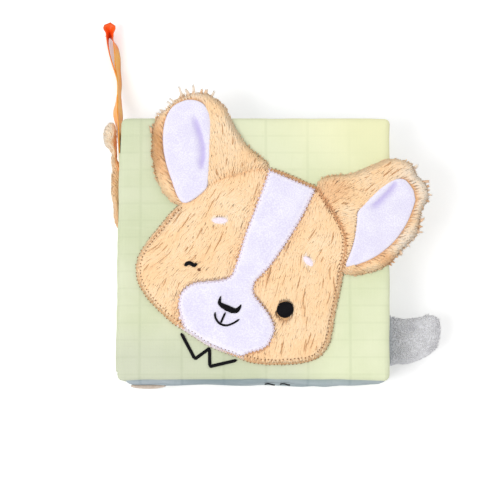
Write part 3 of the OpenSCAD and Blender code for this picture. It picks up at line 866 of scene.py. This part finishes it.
def face_flow(p):
    """The hair runs down the face and a little out over its cheeks."""
    local = turned(p - FACE_AT, -FACE_TURN)
    u = local[:, 0] / (FACE_W / 2)
    v = local[:, 1] / (FACE_H / 2)
    sway = waves(111, 18.0, 40.0)(*p.T)
    angle = np.radians(-90 + 20 * u * smooth(0.9 - v) + 12 * sway)
    return turned(np.stack([np.cos(angle), np.sin(angle)], 1), FACE_TURN)


def walk(roots, flow, length):
    """Four points along the flow from each root."""
    p1 = roots + flow(roots) * (length * 0.38)[:, None]
    p2 = p1 + flow(p1) * (length * 0.35)[:, None]
    p3 = p2 + flow(p2) * (length * 0.27)[:, None]
    return [roots, p1, p2, p3]


def comb(roots, flow, length, spread, ground, lift, width, tone, r, rise=(-0.3, 0.7, 1.0, 0.7)):
    """Locks that start at their roots and lie along a surface, lifted off it."""
    p = walk(roots, flow, length)
    away = r.normal(0, spread, (len(roots), 2))
    p[2] = p[2] + away * 0.5
    p[3] = p[3] + away
    path = np.stack([np.column_stack([q, ground(q) + lift * share])
                     for q, share in zip(p, rise)], 1)
    return locks(path, width, width * 0.2, tone)


def scatter(outline, step, seed, grow=0.0):
    """Places spread over an outline, each moved a little off a grid."""
    r = np.random.default_rng(seed)
    gx, gy = grid_over(outline.min(0) - grow, outline.max(0) + grow, step)
    p = np.stack([gx.ravel(), gy.ravel()], 1)
    p += r.uniform(-0.5, 0.5, p.shape) * step
    return p[depth(p, outline) > -grow], r


def clefts(outline, flow, count, longest, seed):
    """Long partings in the fur, each a row of points with its strength."""
    r = np.random.default_rng(seed)
    low, high = outline.min(0), outline.max(0)
    rows = []
    while len(rows) < count:
        p = r.uniform(low, high)[None]
        if depth(p, outline)[0] < 3:
            continue
        length = r.uniform(0.35, 1.0) * longest
        strength = r.uniform(0.45, 1.0)
        steps = int(length / 0.8)
        row = []
        for k in range(steps):
            p = p + flow(p) * 0.8
            row.append([p[0, 0], p[0, 1], math.sin(math.pi * (k + 0.5) / steps) ** 0.5 * strength])
        rows.append(np.array(row))
    return rows


def cleft_shade_locks(rows, room, ground, lift, seed):
    """A thin dark lock along each parting that has room for it, painted shade for the parting's
    shadow.
    """
    r = np.random.default_rng(seed)
    path = np.array([row[[0, len(row) // 3, 2 * len(row) // 3, -1], :2] for row in rows])
    path = path[np.min([room(path[:, k]) for k in range(4)], axis=0) > 0.6]
    n = len(path)
    z = np.stack([ground(path[:, k]) + lift * share
                  for k, share in enumerate((0.5, 1.0, 1.0, 0.6))], 1)
    path = np.concatenate([path, z[..., None]], 2)
    width = r.uniform(0.35, 0.8, n)
    return locks(path, width, width * 0.3, np.stack([r.uniform(-0.7, 0.9, n), np.zeros(n)], 1))


def parted(p, marks, width):
    """How deep in a parting each place lies, from 0 to 1."""
    out = np.zeros(len(p))
    for some in np.array_split(np.arange(len(p)), len(p) // 3000 + 1):
        gap = ((p[some, None, :] - marks[None, :, :2]) ** 2).sum(2)
        out[some] = (np.exp(-gap / width ** 2) * marks[:, 2]).max(1)
    return out


def face_edge(p):
    """Depth in the face, or in an ear where the face lies against it."""
    ears = np.maximum(depth(p, left_ear_outline), depth(p, right_ear_outline))
    return np.maximum(depth(p, face_outline), ears)


def away(p, spot):
    return np.linalg.norm(p - spot, axis=1)


def face_room(p):
    """Room for hair: inside the face, off the blaze and off the embroidery."""
    room = np.minimum(face_edge(p), -depth(p, blaze_outline))
    room = np.minimum(room, away(p, EYE_AT) - 4.5)
    for shape in (left_brow, right_brow):
        room = np.minimum(room, 0.9 - depth(p, shape))
    room = np.minimum(room, away(p, WINK_DOT_AT) - 0.7)
    for k in np.linspace(0, 1, 5):
        room = np.minimum(room, away(p, wink_bar[0] * (1 - k) + wink_bar[-1] * k) - 0.6)
    return room


def ear_top(outline, seam, run):
    """The ear's height, which falls away over its run under the face's edge."""
    def top(p):
        clear = smooth((seam - depth(p, face_outline)) / run)
        tuck = 0.3 + (EAR_THICK - 0.3) * clear
        return TOP_Z + 0.05 + tuck * dome(np.maximum(depth(p, outline) - 0.4, 0), 4.5)
    return top


left_top = ear_top(left_ear_outline, 5.0, 7.5)
right_top = ear_top(right_ear_outline, 2.6, 6.0)


def face_ground(p):
    return np.maximum(skin_at(p), np.maximum(left_top(p), right_top(p)))


def face_locks():
    roots, r = scatter(face_outline, 0.92, 5)
    roots = roots[face_room(roots) > 0.1]
    rows = clefts(face_outline, face_flow, 120, 17.0, 17)
    part = parted(roots, np.concatenate(rows), 0.55)
    n = len(roots)
    room = np.minimum(face_edge(roots), -depth(roots, blaze_outline))
    length = r.uniform(5.5, 10.0, n) * (0.4 + 0.6 * smooth(room / 6))
    for _ in range(5):
        tips = walk(roots, face_flow, length)
        short = np.minimum(face_room(tips[3]), face_room(tips[2])) < 0.1
        length[short] *= 0.66
    keep = length > 0.8
    roots, room, part, length = roots[keep], room[keep], part[keep], length[keep]
    n = len(roots)
    lift = (0.2 + 0.62 * smooth((room - 1.2) / 4)) * r.uniform(0.93, 1.07, n) * (1 - 0.25 * part)
    lift *= np.minimum(1, 0.35 + length / 6)
    bright = waves(121, 14.0, 36.0)(roots[:, 0], roots[:, 1])
    bright -= 1.6 * parted(roots, np.concatenate(rows[::4]), 1.5)
    high = smooth((roots[:, 1] - 15) / 25)
    middle = walk(roots, face_flow, length)[2]
    brow = np.maximum(depth(middle, left_brow), depth(middle, right_brow))
    fade = 0.85 * smooth((1.3 + brow) / 1.3)
    # Painted shade: locks darker in the partings.
    shade = np.clip(0.3 + 0.25 * bright + 0.15 * high + r.normal(0, 0.09, n) - 0.5 * part, -1, 1)
    width = r.uniform(1.15, 1.9, n) * np.minimum(1, 0.4 + length / 8)
    hair = comb(roots, face_flow, length, 0.25, face_ground, lift, width,
                np.stack([shade, fade], 1), r)
    return hair, cleft_shade_locks(rows, face_room, face_ground, 0.95, 19)


hair, cleft_shade_hair = face_locks()
piece(make("face_fur_locks", [hair], PEACH), "front", "peach_fur")
# Painted shade in the face's partings.
piece(make("face_fur_cleft_shade", [cleft_shade_hair], CLEFT_SHADE), "front", "peach_fur")

# The blaze and muzzle: one smooth plush patch

def blaze_top(x, y, d):
    puff = waves(131, 14.0, 40.0)(x, y)
    return TOP_Z + 2.2 + 1.9 * dome(d, 3.4) + 0.2 * puff * smooth(d / 5)


def blaze_at(p):
    return blaze_top(*p.T, depth(p, blaze_outline))


points, faces, d = pad(blaze_outline, 1.5, level(TOP_Z + 1.4), blaze_top, level(TOP_Z + 1.0),
                       rims=(0.25, 0.7, 1.5))
# Painted shade at the blaze's very edge and a painted highlight along its rounded rim.
rim = np.stack([0.18 * smooth(1 - d / 0.8), 0.75 * smooth(1 - np.abs(d - 1.1) / 1.2), d * 0], 1)
blaze = piece(make("face_blaze_patch", [(points, faces, rim)], LILAC), "front", "lilac_plush",
              "face_blaze")


# Ears

def ear_pieces(name, ear, outline, surface, lining, fold, seed, tints, tufts, wisps, under):
    base = on_ear([[0.0, -ear["size"][1] * 0.35]], ear)[0]
    inner = evenly(on_ear(lining, ear), 0.8)
    sway = waves(seed, 14.0, 34.0)

    points, faces, d = pad(outline, 2.0, level(TOP_Z),
                           lambda x, y, d: surface(np.stack([x, y], 1)), level(TOP_Z - 0.4),
                           rims=(0.4, 1.2, 2.4))
    backing = make(name + "_ear_backing", [(points, faces, np.zeros_like(points))], BACKING)
    piece(backing, "front", "peach_fur", name + "_ear_fur")

    def flow(p):
        out = unit(p - base)
        a = np.radians(10 * sway(*p.T))
        return np.stack([out[:, 0] * np.cos(a) - out[:, 1] * np.sin(a),
                         out[:, 0] * np.sin(a) + out[:, 1] * np.cos(a)], 1)

    def ground(p):
        return np.maximum(surface(p), np.where(depth(p, face_outline) > 0, skin_at(p), 0))

    def room(p):
        return np.minimum(np.minimum(depth(p, outline), -depth(p, inner)),
                          under - depth(p, face_outline))

    roots, r = scatter(outline, 0.92, seed + 1, 0.2)
    edge = depth(roots, outline)
    keep = (-depth(roots, inner) > -0.5) & (depth(roots, face_outline) < under)
    roots, edge = roots[keep], edge[keep]
    rows = clefts(outline, flow, 50, 11.0, seed + 2)
    part = parted(roots, np.concatenate(rows), 0.55)
    n = len(roots)
    length = r.uniform(5.0, 9.5, n)
    clump = waves(seed + 8, 3.2, 6.5, 9)
    for _ in range(6):
        tips = walk(roots, flow, length)
        reach = 0.35 + tufts(tips[3]) * np.maximum(0, 0.4 + clump(tips[3][:, 0], tips[3][:, 1]))
        past = depth(tips[3], outline) < -reach * r.uniform(0.7, 1.1, n)
        over = np.maximum(depth(tips[3], inner), depth(tips[2], inner)) > 0.5
        length[past | over] *= 0.76
    keep = length > 1.2
    roots, edge, part, length = roots[keep], edge[keep], part[keep], length[keep]
    n = len(roots)
    lift = r.uniform(0.62, 0.78, n) * (1 - 0.25 * part) * (0.5 + 0.5 * smooth(edge / 4))
    shade = 0.3 + 0.25 * waves(seed + 4, 12.0, 30.0)(*roots.T) + r.normal(0, 0.1, n)
    # Painted shade: locks darker in the partings.
    shade -= 0.5 * part
    fade = np.zeros(n)
    tips = walk(roots, flow, length)[3]
    # A tint's darker value paints shade, as on the left ear, whose left strip curls under in shadow.
    for (x, y), far, darker, paler in tints:
        near = smooth(1.3 * (1 - np.hypot(tips[:, 0] - x, tips[:, 1] - y) / far))
        shade -= near * darker
        fade = np.maximum(fade, near * paler)
    fade *= r.uniform(0.55, 1.0, n)
    wide = r.uniform(1.1, 1.8, n) * np.minimum(1, 0.4 + length / 8)
    made = comb(roots, flow, length, 0.3, ground, lift, wide,
                np.stack([np.clip(shade, -2, 1), fade], 1), r)
    loose = np.repeat(np.array(wisps, float), 9, 0)
    loose += r.normal(0, 0.45, loose.shape) * (1, 1, 1, 1, 0, 0)
    p = [loose[:, :2] + (loose[:, 2:4] - loose[:, :2]) * t for t in (0, 0.35, 0.7, 1)]
    p = [q + [[0.35 * t, 0]] for q, t in zip(p, (0, 1, 1, 0))]
    z = [ground(q) + share for q, share in zip(p, (0.2, 0.7, 0.8, 0.5))]
    path = np.stack([np.column_stack(q) for q in zip(p, z)], 1)
    wide = r.uniform(0.5, 1.0, len(loose))
    tone = loose[:, 4:6] + r.uniform(-0.1, 0.1, (len(loose), 2))
    wisp = locks(path, wide, wide * 0.25, tone)
    piece(make(name + "_ear_fur_locks", [made, wisp], PEACH), "front", "peach_fur")
    # Painted shade in the ear's partings.
    made = cleft_shade_locks(rows, room, ground, 1.0, seed + 3)
    piece(make(name + "_ear_fur_cleft_shade", [made], CLEFT_SHADE), "front", "peach_fur")

    crease = np.array([on_ear([q], ear)[0] for q in fold["line"]])
    crease = evenly(crease, 1.0, closed=False)

    def beside(x, y):
        p = np.stack([np.ravel(x), np.ravel(y)], 1)
        rel = p[:, None, :] - crease[None]
        at = (rel ** 2).sum(2).argmin(1)
        ahead = np.gradient(crease, axis=0)[at]
        gap = rel[np.arange(len(p)), at]
        run = np.abs((gap * ahead).sum(1))
        across = (ahead[:, 0] * gap[:, 1] - ahead[:, 1] * gap[:, 0]) * fold["side"]
        along = np.minimum(at, len(crease) - 1 - at) / len(crease)
        return across, smooth(along * 5) * np.exp(-(run / 3.0) ** 2)

    def dip(x, y):
        across, strength = beside(x, y)
        gentle = np.exp(-(np.maximum(across, 0) / fold["wide"]) ** 2)
        steep = np.exp(-(np.minimum(across, 0) / 0.9) ** 2)
        return strength * np.where(across > 0, gentle, steep)

    def lining_top(x, y, d):
        puff = waves(seed + 6, 14.0, 34.0)(x, y)
        swell = 0.25 * puff * smooth(d / 4) - fold["deep"] * dip(x, y) * smooth(d / 2)
        return TOP_Z + EAR_THICK + 0.25 + 1.25 * dome(d, 3.0) + swell

    points, faces, d = pad(inner, 1.2, level(TOP_Z + EAR_THICK - 0.3), lining_top,
                           level(TOP_Z + EAR_THICK - 0.9), rims=(0.25, 0.7, 1.5))
    # Painted shade in the lining's crease and along its edge, and a painted highlight along its rim.
    dark = fold["dark"] * dip(points[:, 0], points[:, 1]) * smooth(d / 1.0)
    painted_rim_highlight = 0.5 * smooth(1 - np.abs(d - 0.9) / 0.9)
    painted_shade_and_highlight = np.stack([dark + 0.12 * smooth(1 - d / 1.0), painted_rim_highlight * (1 - dark), d * 0], 1)
    patch = make(name + "_ear_lining_patch", [(points, faces, painted_shade_and_highlight)], LILAC)
    piece(patch, "front", "lilac_plush", name + "_ear_lining")


left_lining = spline(percent(LEFT_EAR["lining"], *LEFT_EAR["size"]), True, 5)
right_lining = profile(RIGHT_EAR["rows"], *RIGHT_EAR["size"])
# The fold's dark value is painted shade in the lining's crease.
ear_pieces("left", LEFT_EAR, left_ear_outline, left_top, left_lining,
           {"line": [[-3.7, 42.2], [-3.1, 37.6], [-2.5, 32.1], [-2.4, 26.7], [-2.6, 21.4],
                     [-3.9, 16.4], [-6.0, 11.7], [-7.9, 6.8]],
            "side": -1, "wide": 3.0, "deep": 1.0, "dark": 0.7},
           201, [((-59.0, 58.0), 24.0, 2.1, 0.0), ((-36.0, 90.0), 13.0, 0.2, 0.7),
                 ((-12.0, 68.0), 18.0, -0.45, 0.0)],
           lambda p: 0.4 + 0.5 * smooth((p[:, 1] - 80.0) / 8.0),
           [[-40.4, 85.2, -42.3, 92.2, -0.6, 1.0], [-36.5, 86.0, -38.9, 90.6, -0.9, 0.8],
            [-33.4, 86.6, -34.3, 93.2, -0.7, 1.0], [-29.8, 86.8, -29.4, 90.9, -1.0, 0.2],
            [-27.4, 86.8, -26.4, 90.6, -0.8, 0.4], [-24.0, 85.6, -22.8, 89.6, -0.6, 1.0],
            [-44.0, 82.0, -47.4, 85.4, -0.1, 1.0], [-45.6, 81.0, -48.6, 83.6, -0.2, 1.0],
            [-50.5, 76.0, -54.8, 77.0, -1.0, 0.6], [-48.6, 77.0, -53.0, 78.8, -0.8, 0.7],
            [-20.4, 81.5, -16.4, 81.8, -0.9, 0.3], [-57.0, 66.0, -58.6, 69.5, -1.4, 0.3]], 4.5)
# The fold's dark value is painted shade in the lining's crease.
ear_pieces("right", RIGHT_EAR, right_ear_outline, right_top, right_lining,
           {"line": [[-17.5, 38.5], [-14.0, 36.0], [-11.3, 33.4], [-8.5, 29.3], [-6.5, 26.4],
                     [-4.9, 23.0], [-3.0, 20.0]],
            "side": 1, "wide": 2.6, "deep": 0.9, "dark": 0.7},
           251, [((96.0, 34.0), 27.0, 0.0, 1.0), ((86.0, 5.0), 15.0, 0.0, 1.0),
                 ((45.0, 33.0), 13.0, 1.2, 0.0), ((76.0, -7.0), 8.0, 1.3, 0.0),
                 ((60.0, -12.0), 5.0, 0.9, 0.0)],
           lambda p: 0.3 + 0.5 * smooth((p[:, 0] - 80.0) / 8.0),
           [[88.5, 46.0, 90.8, 48.0, -0.3, 1.0], [94.0, 38.0, 97.2, 38.6, -1.2, 0.4],
            [94.6, 35.0, 97.4, 35.6, -1.4, 0.2], [95.0, 31.6, 99.0, 30.6, -1.0, 0.8],
            [94.4, 28.0, 97.0, 26.6, -1.5, 0.2], [91.8, 25.0, 93.6, 23.2, -1.2, 0.3],
            [91.6, 16.0, 94.2, 17.6, -1.0, 0.5], [90.4, 13.0, 93.4, 13.0, -1.5, 0.2],
            [89.4, 10.6, 92.8, 9.4, -1.2, 0.5], [86.4, 6.6, 88.8, 5.4, -0.8, 0.8],
            [84.0, 3.6, 86.2, 1.4, -0.7, 0.9], [80.0, 0.0, 81.6, -3.0, -1.0, 0.5]], 2.2)


# Edge stitching on the face and the blaze

EDGE_PITCH = 2.1


def edge_stitches(outline, inside, outside, keep, z_in, z_out, seed, hole):
    """A zigzag of thread over an edge, with a darker needle hole at each turn."""
    rim = evenly(outline, EDGE_PITCH)
    ahead = np.roll(rim, -1, 0) - np.roll(rim, 1, 0)
    inward = left_of(ahead)
    r = np.random.default_rng(seed)
    jitter = r.normal(0, 0.12, (len(rim), 2))
    out = rim - inward * outside + jitter
    into = (rim + np.roll(rim, -1, 0)) / 2 + inward * inside - jitter
    wanted = keep(rim)
    out3 = np.column_stack([out, z_out(out)])
    in3 = np.column_stack([into, z_in(into)])
    next3 = np.roll(out3, -1, 0)
    starts = np.concatenate([out3[wanted], in3[wanted]])
    ends = np.concatenate([in3[wanted], next3[wanted]])
    thread = bars(starts, ends, 0.16, 0.12, 5)
    run = unit(np.concatenate([ahead[wanted], ahead[wanted]]))
    long = np.column_stack([run * 0.34, np.zeros(len(run))])
    holes = bars(starts - long, starts + long, hole, 0.06, 6)
    return thread, holes


def above(value):
    return lambda p: np.full(len(p), float(value))


def plain_edge(p):
    return (depth(p, left_ear_outline) < 1.0) & ~muzzle_edge(p)


def muzzle_edge(p):
    return depth(p, blaze_outline) > -1.9


face_thread, face_holes = edge_stitches(
    face_outline, 2.5, 0.15, plain_edge,
    lambda p: skin_at(p) + 1.0,
    lambda p: np.maximum(TOP_Z + 0.45, right_top(p) + 0.5), 301, 0.27)
piece(make("face_edge_thread", [face_thread], TAN), "front", "peach_fur")
muzzle_thread, muzzle_holes = edge_stitches(
    face_outline, 1.5, 0.15, muzzle_edge,
    lambda p: blaze_at(p) + 0.1,
    above(TOP_Z + 0.5), 305, 0.2)
piece(make("face_edge_stitches", [face_holes, muzzle_holes], BROWN), "front", "dark_thread")
piece(make("muzzle_edge_thread", [muzzle_thread], PALE), "front", "lilac_plush")


def off_face_edge(p):
    return depth(p, face_outline) > 1.5


blaze_thread, blaze_holes = edge_stitches(
    blaze_outline, 0.9, 0.35, off_face_edge,
    lambda p: blaze_at(p) + 0.05,
    above(TOP_Z + 2.9), 303, 0.17)
piece(make("blaze_edge_thread", [blaze_thread], PALE), "front", "lilac_plush")
piece(make("blaze_edge_stitches", [blaze_holes], MAUVE), "front", "pale_thread")

# Embroidery

ON_FUR = SKIN_Z + 0.7
pupil = satin_fill(oval(EYE_AT, 9.4, 9.0, 20.0), -60.0, STITCH_PITCH, ON_FUR, 1.3)
eye = make("open_eye_satin", pupil, DARK)
piece(eye, "front", "dark_thread", "open_eye")
wink = [satin_line(spline(wink_bar, False, 6), 2.5, 0.4, ON_FUR + 0.3, 0.55)]
piece(make("winking_eye_satin", wink, DARK), "front", "dark_thread", "winking_eye")
wink_dot = satin_fill(oval(WINK_DOT_AT, 1.9, 1.6, -30.0), 20.0, 0.4, ON_FUR, 0.6)[:1]
piece(make("winking_eye_dot", wink_dot, BROWN), "front", "dark_thread")
for label, shape, lie in (("left", left_brow, 90.0), ("right", right_brow, 2 * FACE_TURN + 90)):
    threads = satin_fill(shape, lie, STITCH_PITCH, ON_FUR - 0.1, 0.7)
    spot = make(label + "_brow_satin", threads, PALE)
    piece(spot, "front", "pale_thread", label + "_brow")

nose_shape = on_face(spline(percent(NOSE, 13.5, 6.5), True, 6)
                     + percent([[-0.7, -26.6]], FACE_W, FACE_H))
ON_BLAZE = TOP_Z + 4.15
nose = make("nose_satin", satin_fill(nose_shape, FACE_TURN, 0.4, ON_BLAZE - 0.1, 0.8), DARK)
piece(nose, "front", "dark_thread", "nose")
stem = on_face(percent(MOUTH_STEM, FACE_W, FACE_H))
smile = on_face(spline(percent(MOUTH_SMILE, FACE_W, FACE_H), False, 6))
lips = [satin_line(line, 1.25, STITCH_PITCH, ON_BLAZE, 0.32) for line in (stem, smile)]
mouth = make("mouth_stitches", lips, DARK)
piece(mouth, "front", "dark_thread", "mouth")
zigzag = on_face(percent(ZIGZAG, FACE_W, FACE_H))
zigzag_parts = []
for a, b in zip(zigzag[:-1], zigzag[1:]):
    stroke = evenly(np.array([a, b]), 0.4, closed=False)
    stroke = stroke[depth(stroke, face_outline) < 0.3]
    if len(stroke) > 3:
        zigzag_parts.append(satin_line(stroke, 2.0, STITCH_PITCH, TOP_Z + 0.15, 0.4))
chest = make("chest_zigzag_satin", zigzag_parts, DARK)
piece(chest, "front", "dark_thread", "chest_zigzag")


# Ribbon

def ribbon():
    """A flat ribbon that tilts and twists along its route."""
    rows = spline(np.array(RIBBON) + [-HALF_W, HALF_H, 0, 0, 0], False, 6)
    run = np.concatenate([[0], np.cumsum(np.linalg.norm(np.diff(rows[:, :3], axis=0), axis=1))])
    at = np.linspace(0, run[-1], round(run[-1] / 0.5))
    rows = np.stack([np.interp(at, run, rows[:, k]) for k in range(5)], 1)
    route = rows[:, :3]
    ahead = unit(np.gradient(route, axis=0))
    upright = unit(UP - ahead * ahead[:, 2:])
    side = np.cross(ahead, upright)
    tilt = np.radians(rows[:, 3:4])
    across = upright * np.cos(tilt) + side * np.sin(tilt)
    share = np.linspace(-0.5, 0.5, 7)
    cup = 0.3 * (1 - (2 * share) ** 2)
    grid = (route[:, None, :] + across[:, None, :] * (share * RIBBON_W)[None, :, None]
            + side[:, None, :] * cup[None, :, None])
    grid[..., 2] = np.maximum(grid[..., 2], 0.35)
    points, faces = sheet_solid(grid, RIBBON_THICK)
    # Painted light: the bend's red where light comes through the loop.
    tone = np.tile(np.repeat(np.clip(rows[:, 4], 0, 1), len(share)), 2)
    return points, faces, np.stack([tone, tone, tone], 1)


loop = piece(make("ribbon_loop_satin", [ribbon()], SATIN), "block", "satin_ribbon",
             "ribbon_loop")

# Grey tail at the fore edge

tail_outline = percent(GREY_TAIL, 30.0, 24.0)
tail_outline = spline(tail_outline, True, 6)
tail_outline[:, 0] = np.maximum(tail_outline[:, 0], -1.2)
tail_outline = evenly(tail_outline + [LEAF_X1 + 0.3, -48.0], 0.9)
TAIL_MID = 15.0


def tail_half(x, y, d):
    lump = waves(401, 7.0, 18.0)(x, y)
    return 4.1 * dome(d, 5.5) + 0.25 * lump * smooth(d / 3)


def painted_hollow_shade(p):
    """How near a place lies to the small hollow in the tail, where shade is painted darker."""
    return np.exp(-((p[:, 0] - 88.5) ** 2 + (p[:, 1] + 41.5) ** 2) / 9.0)


points, faces, d = pad(tail_outline, 1.1, *lens(TAIL_MID, tail_half), rims=(0.3, 0.9, 2.0))
# Painted shade in the tail's small hollow.
tail_tone = np.stack([0.55 * painted_hollow_shade(points), d * 0, d * 0], 1)
tail = piece(make("grey_tail_plush", [(points, faces, tail_tone)], GREY), "block",
             "grey_plush", "grey_tail")


def two_sides(roots, flow, length, ground, middle, shares, draw):
    """Locks on both sides of a pad. draw gives one side's lift, width, shade and fade."""
    made = []
    for sign in (1, -1):
        lift, width, shade, fade = draw()
        path = np.stack([np.column_stack([q, middle + sign * (ground + lift * share)])
                         for q, share in zip(walk(roots, flow, length), shares)], 1)
        made.append(locks(path, width, sign * width * 0.4, np.stack([shade, fade], 1)))
    return made


def tail_flow(p):
    sway = waves(411, 6.0, 16.0)(*p.T)
    a = 0.25 + 0.9 * sway
    return np.stack([np.cos(a), np.sin(a)], 1)


def tail_locks():
    roots, r = scatter(tail_outline, 0.85, 403)
    inside = depth(roots, tail_outline)
    n = len(roots)

    def draw():
        lift = r.uniform(0.15, 0.35, n) + 0.2 * (inside < 1.2)
        # Painted shade in the tail's small hollow.
        shade = np.clip(r.normal(0.5, 0.25, n), 0, 1) * (1 - 0.8 * painted_hollow_shade(roots))
        width = r.uniform(0.45, 0.7, n)
        return lift, width, shade, 0.3 * r.uniform(0, 1, n)

    return two_sides(roots, tail_flow, r.uniform(0.9, 1.6, n), tail_half(*roots.T, inside),
                     TAIL_MID, (-0.4, 0.6, 1.0, 1.1), draw)


piece(make("grey_tail_pile", tail_locks(), GREY_PILE), "block", "grey_plush")

# Furry tail along the spine

fur_tail_outline = profile(FUR_TAIL, 9.6, 56.0) + [-HALF_W, 15.0]
knob = smooth((fur_tail_outline[:, 1] - 44.0) / 12.0)
fur_tail_outline[:, 1] += 3.0 * knob
fur_tail_outline = evenly(fur_tail_outline, 0.8)
FUR_TAIL_MID = 19.1


def fur_tail_half(x, y, d):
    return 3.6 * dome(d, 2.6)


points, faces, d = pad(fur_tail_outline, 1.2, *lens(FUR_TAIL_MID, fur_tail_half),
                       rims=(0.3, 0.9))
strip = make("fur_tail_backing", [(points, faces, np.zeros_like(points))], BACKING)
piece(strip, "block", "peach_fur", "fur_tail")


def fur_tail_locks():
    roots, r = scatter(fur_tail_outline, 0.6, 421)
    inside = depth(roots, fur_tail_outline)
    n = len(roots)
    up = smooth((roots[:, 1] - 45.0) / 20.0)
    sway = waves(423, 8.0, 18.0)

    def flow(p):
        lean = smooth((p[:, 1] - 50.0) / 14.0)
        a = np.radians(104 + 32 * lean + 24 * sway(*p.T))
        return np.stack([np.cos(a), np.sin(a)], 1)

    length = r.uniform(3.0, 6.0, n)
    for _ in range(4):
        tips = walk(roots, flow, length)
        wrong = (depth(tips[3], fur_tail_outline) < -1.6) | (tips[3][:, 0] > -74.6)
        length[wrong] *= 0.7
    # Painted shade along the tail's side that lies against the book, less up at its knob.
    inner = smooth((roots[:, 0] + 79.5) / 3.0) * (1 - up)

    def draw():
        lift = r.uniform(0.3, 0.8, n)
        # Painted shade by the book, from inner.
        shade = np.clip(r.normal(0.2, 0.2, n) - 1.1 * inner + 0.3 * up, -1.3, 1)
        fade = np.maximum(up, 0.12) * r.uniform(0.55, 1.0, n)
        return lift, r.uniform(0.7, 1.1, n), shade, fade

    return two_sides(roots, flow, length, fur_tail_half(*roots.T, inside), FUR_TAIL_MID,
                     (-0.4, 0.7, 1.0, 0.8), draw)


piece(make("fur_tail_locks", fur_tail_locks(), PEACH), "block", "peach_fur")

# Beige flap and dark dashes on the leaves' bottom edge

flap_low, flap_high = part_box("page_flap")
flap_mid = (flap_low + flap_high) / 2 / MM
t = np.linspace(math.pi, 2 * math.pi, 26)
flap_outline = np.stack([flap_mid.x + 10 * np.cos(t), flap_high.y / MM + 1.7 * np.sin(t)], 1)
flap_outline = np.concatenate([flap_outline, [[flap_mid.x + 9, flap_high.y / MM + 0.8],
                                              [flap_mid.x - 9, flap_high.y / MM + 0.8]]])
points, faces, d = pad(flap_outline, 0.8, *lens(flap_mid.z, lambda x, y, d: 2.4 * dome(d, 1.1)),
                       rims=(0.25, 0.6))
flap = make("page_flap_plush", [(points, faces, np.zeros_like(points))], BEIGE)
piece(flap, "block", "beige_plush", "page_flap")
trim_low, trim_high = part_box("page_trim")
dash_y = (trim_low.y + trim_high.y) / 2 / MM
dash_z = (trim_low.z + trim_high.z) / 2 / MM
first = trim_low.x / MM
second = trim_high.x / MM - 6.0
dashes = []
for start in (first, second):
    for row in (-0.5, 0.0, 0.5):
        x = np.arange(start + 0.3, start + 5.8, 0.55)
        y = x * 0 + dash_y + 0.8 + 0.35 * np.sin((x - start) * 0.9)
        a = np.stack([x - 0.35, y, x * 0 + dash_z + row], 1)
        b = np.stack([x + 0.35, y - 0.1, x * 0 + dash_z + row + 0.2], 1)
        dashes.append(bars(a, b, 0.4, 0.0))
piece(make("page_trim_stitches", dashes, DARK), "block", "dark_thread", "page_trim")


# Floor, light and view

FLOOR_HALF = 3.0
FLOOR_BELOW = 0.0003

def studio():
    world = bpy.data.worlds.new("studio")
    bpy.context.scene.world = world
    world.use_nodes = True
    tree = world.node_tree
    plain = tree.nodes["Background"]
    plain.inputs[0].default_value = (1, 1, 1, 1)
    plain.inputs[1].default_value = 0.62
    white = add_node(tree, "ShaderNodeBackground", {1: 1.0})
    ray = add_node(tree, "ShaderNodeLightPath").outputs
    seen = ray["Is Camera Ray"]
    for kind in ("Is Glossy Ray", "Is Transmission Ray"):
        seen = add_node(tree, "ShaderNodeMath", {0: seen, 1: ray[kind]},
                        operation="MAXIMUM").outputs[0]
    choose = add_node(tree, "ShaderNodeMixShader",
                      {0: seen, 1: plain.outputs[0], 2: white.outputs[0]})
    tree.links.new(choose.outputs[0], tree.nodes["World Output"].inputs[0])


def floor():
    mesh = bpy.data.meshes.new("floor")
    s = FLOOR_HALF
    z = -FLOOR_BELOW
    mesh.from_pydata([(-s, -s, z), (s, -s, z), (s, s, z), (-s, s, z)], [], [(0, 1, 2, 3)])
    obj = link(bpy.data.objects.new("floor", mesh))
    material = bpy.data.materials.new("floor")
    material.use_nodes = True
    tree = material.node_tree
    shader = tree.nodes["Principled BSDF"]
    shader.inputs["Base Color"].default_value = (0.86, 0.86, 0.86, 1)
    shader.inputs["Roughness"].default_value = 1.0
    shader.inputs["Specular IOR Level"].default_value = 0.0
    ray = add_node(tree, "ShaderNodeLightPath").outputs
    sight = add_node(tree, "ShaderNodeMath", {0: ray["Is Camera Ray"], 1: ray["Is Glossy Ray"]},
                     operation="MAXIMUM")
    glow = add_node(tree, "ShaderNodeMath", {0: sight.outputs[0], 1: 0.35},
                    operation="MULTIPLY")
    tree.links.new(glow.outputs[0], shader.inputs["Emission Strength"])
    shader.inputs["Emission Color"].default_value = (1, 1, 1, 1)
    mesh.materials.append(material)


def lamp(name, place, size, watts):
    light = bpy.data.lights.new(name, "AREA")
    light.size = size
    light.energy = watts
    obj = link(bpy.data.objects.new(name, light))
    obj.location = place
    obj.rotation_euler = (Vector((0, 0, 0.03)) - Vector(place)).to_track_quat("-Z", "Y").to_euler()


studio()
floor()
lamp("key", (-0.75, -0.35, 1.15), 0.7, 9.0)
lamp("fill", (0.7, 0.6, 1.0), 0.9, 3.0)
bpy.context.scene.view_settings.view_transform = "Standard"
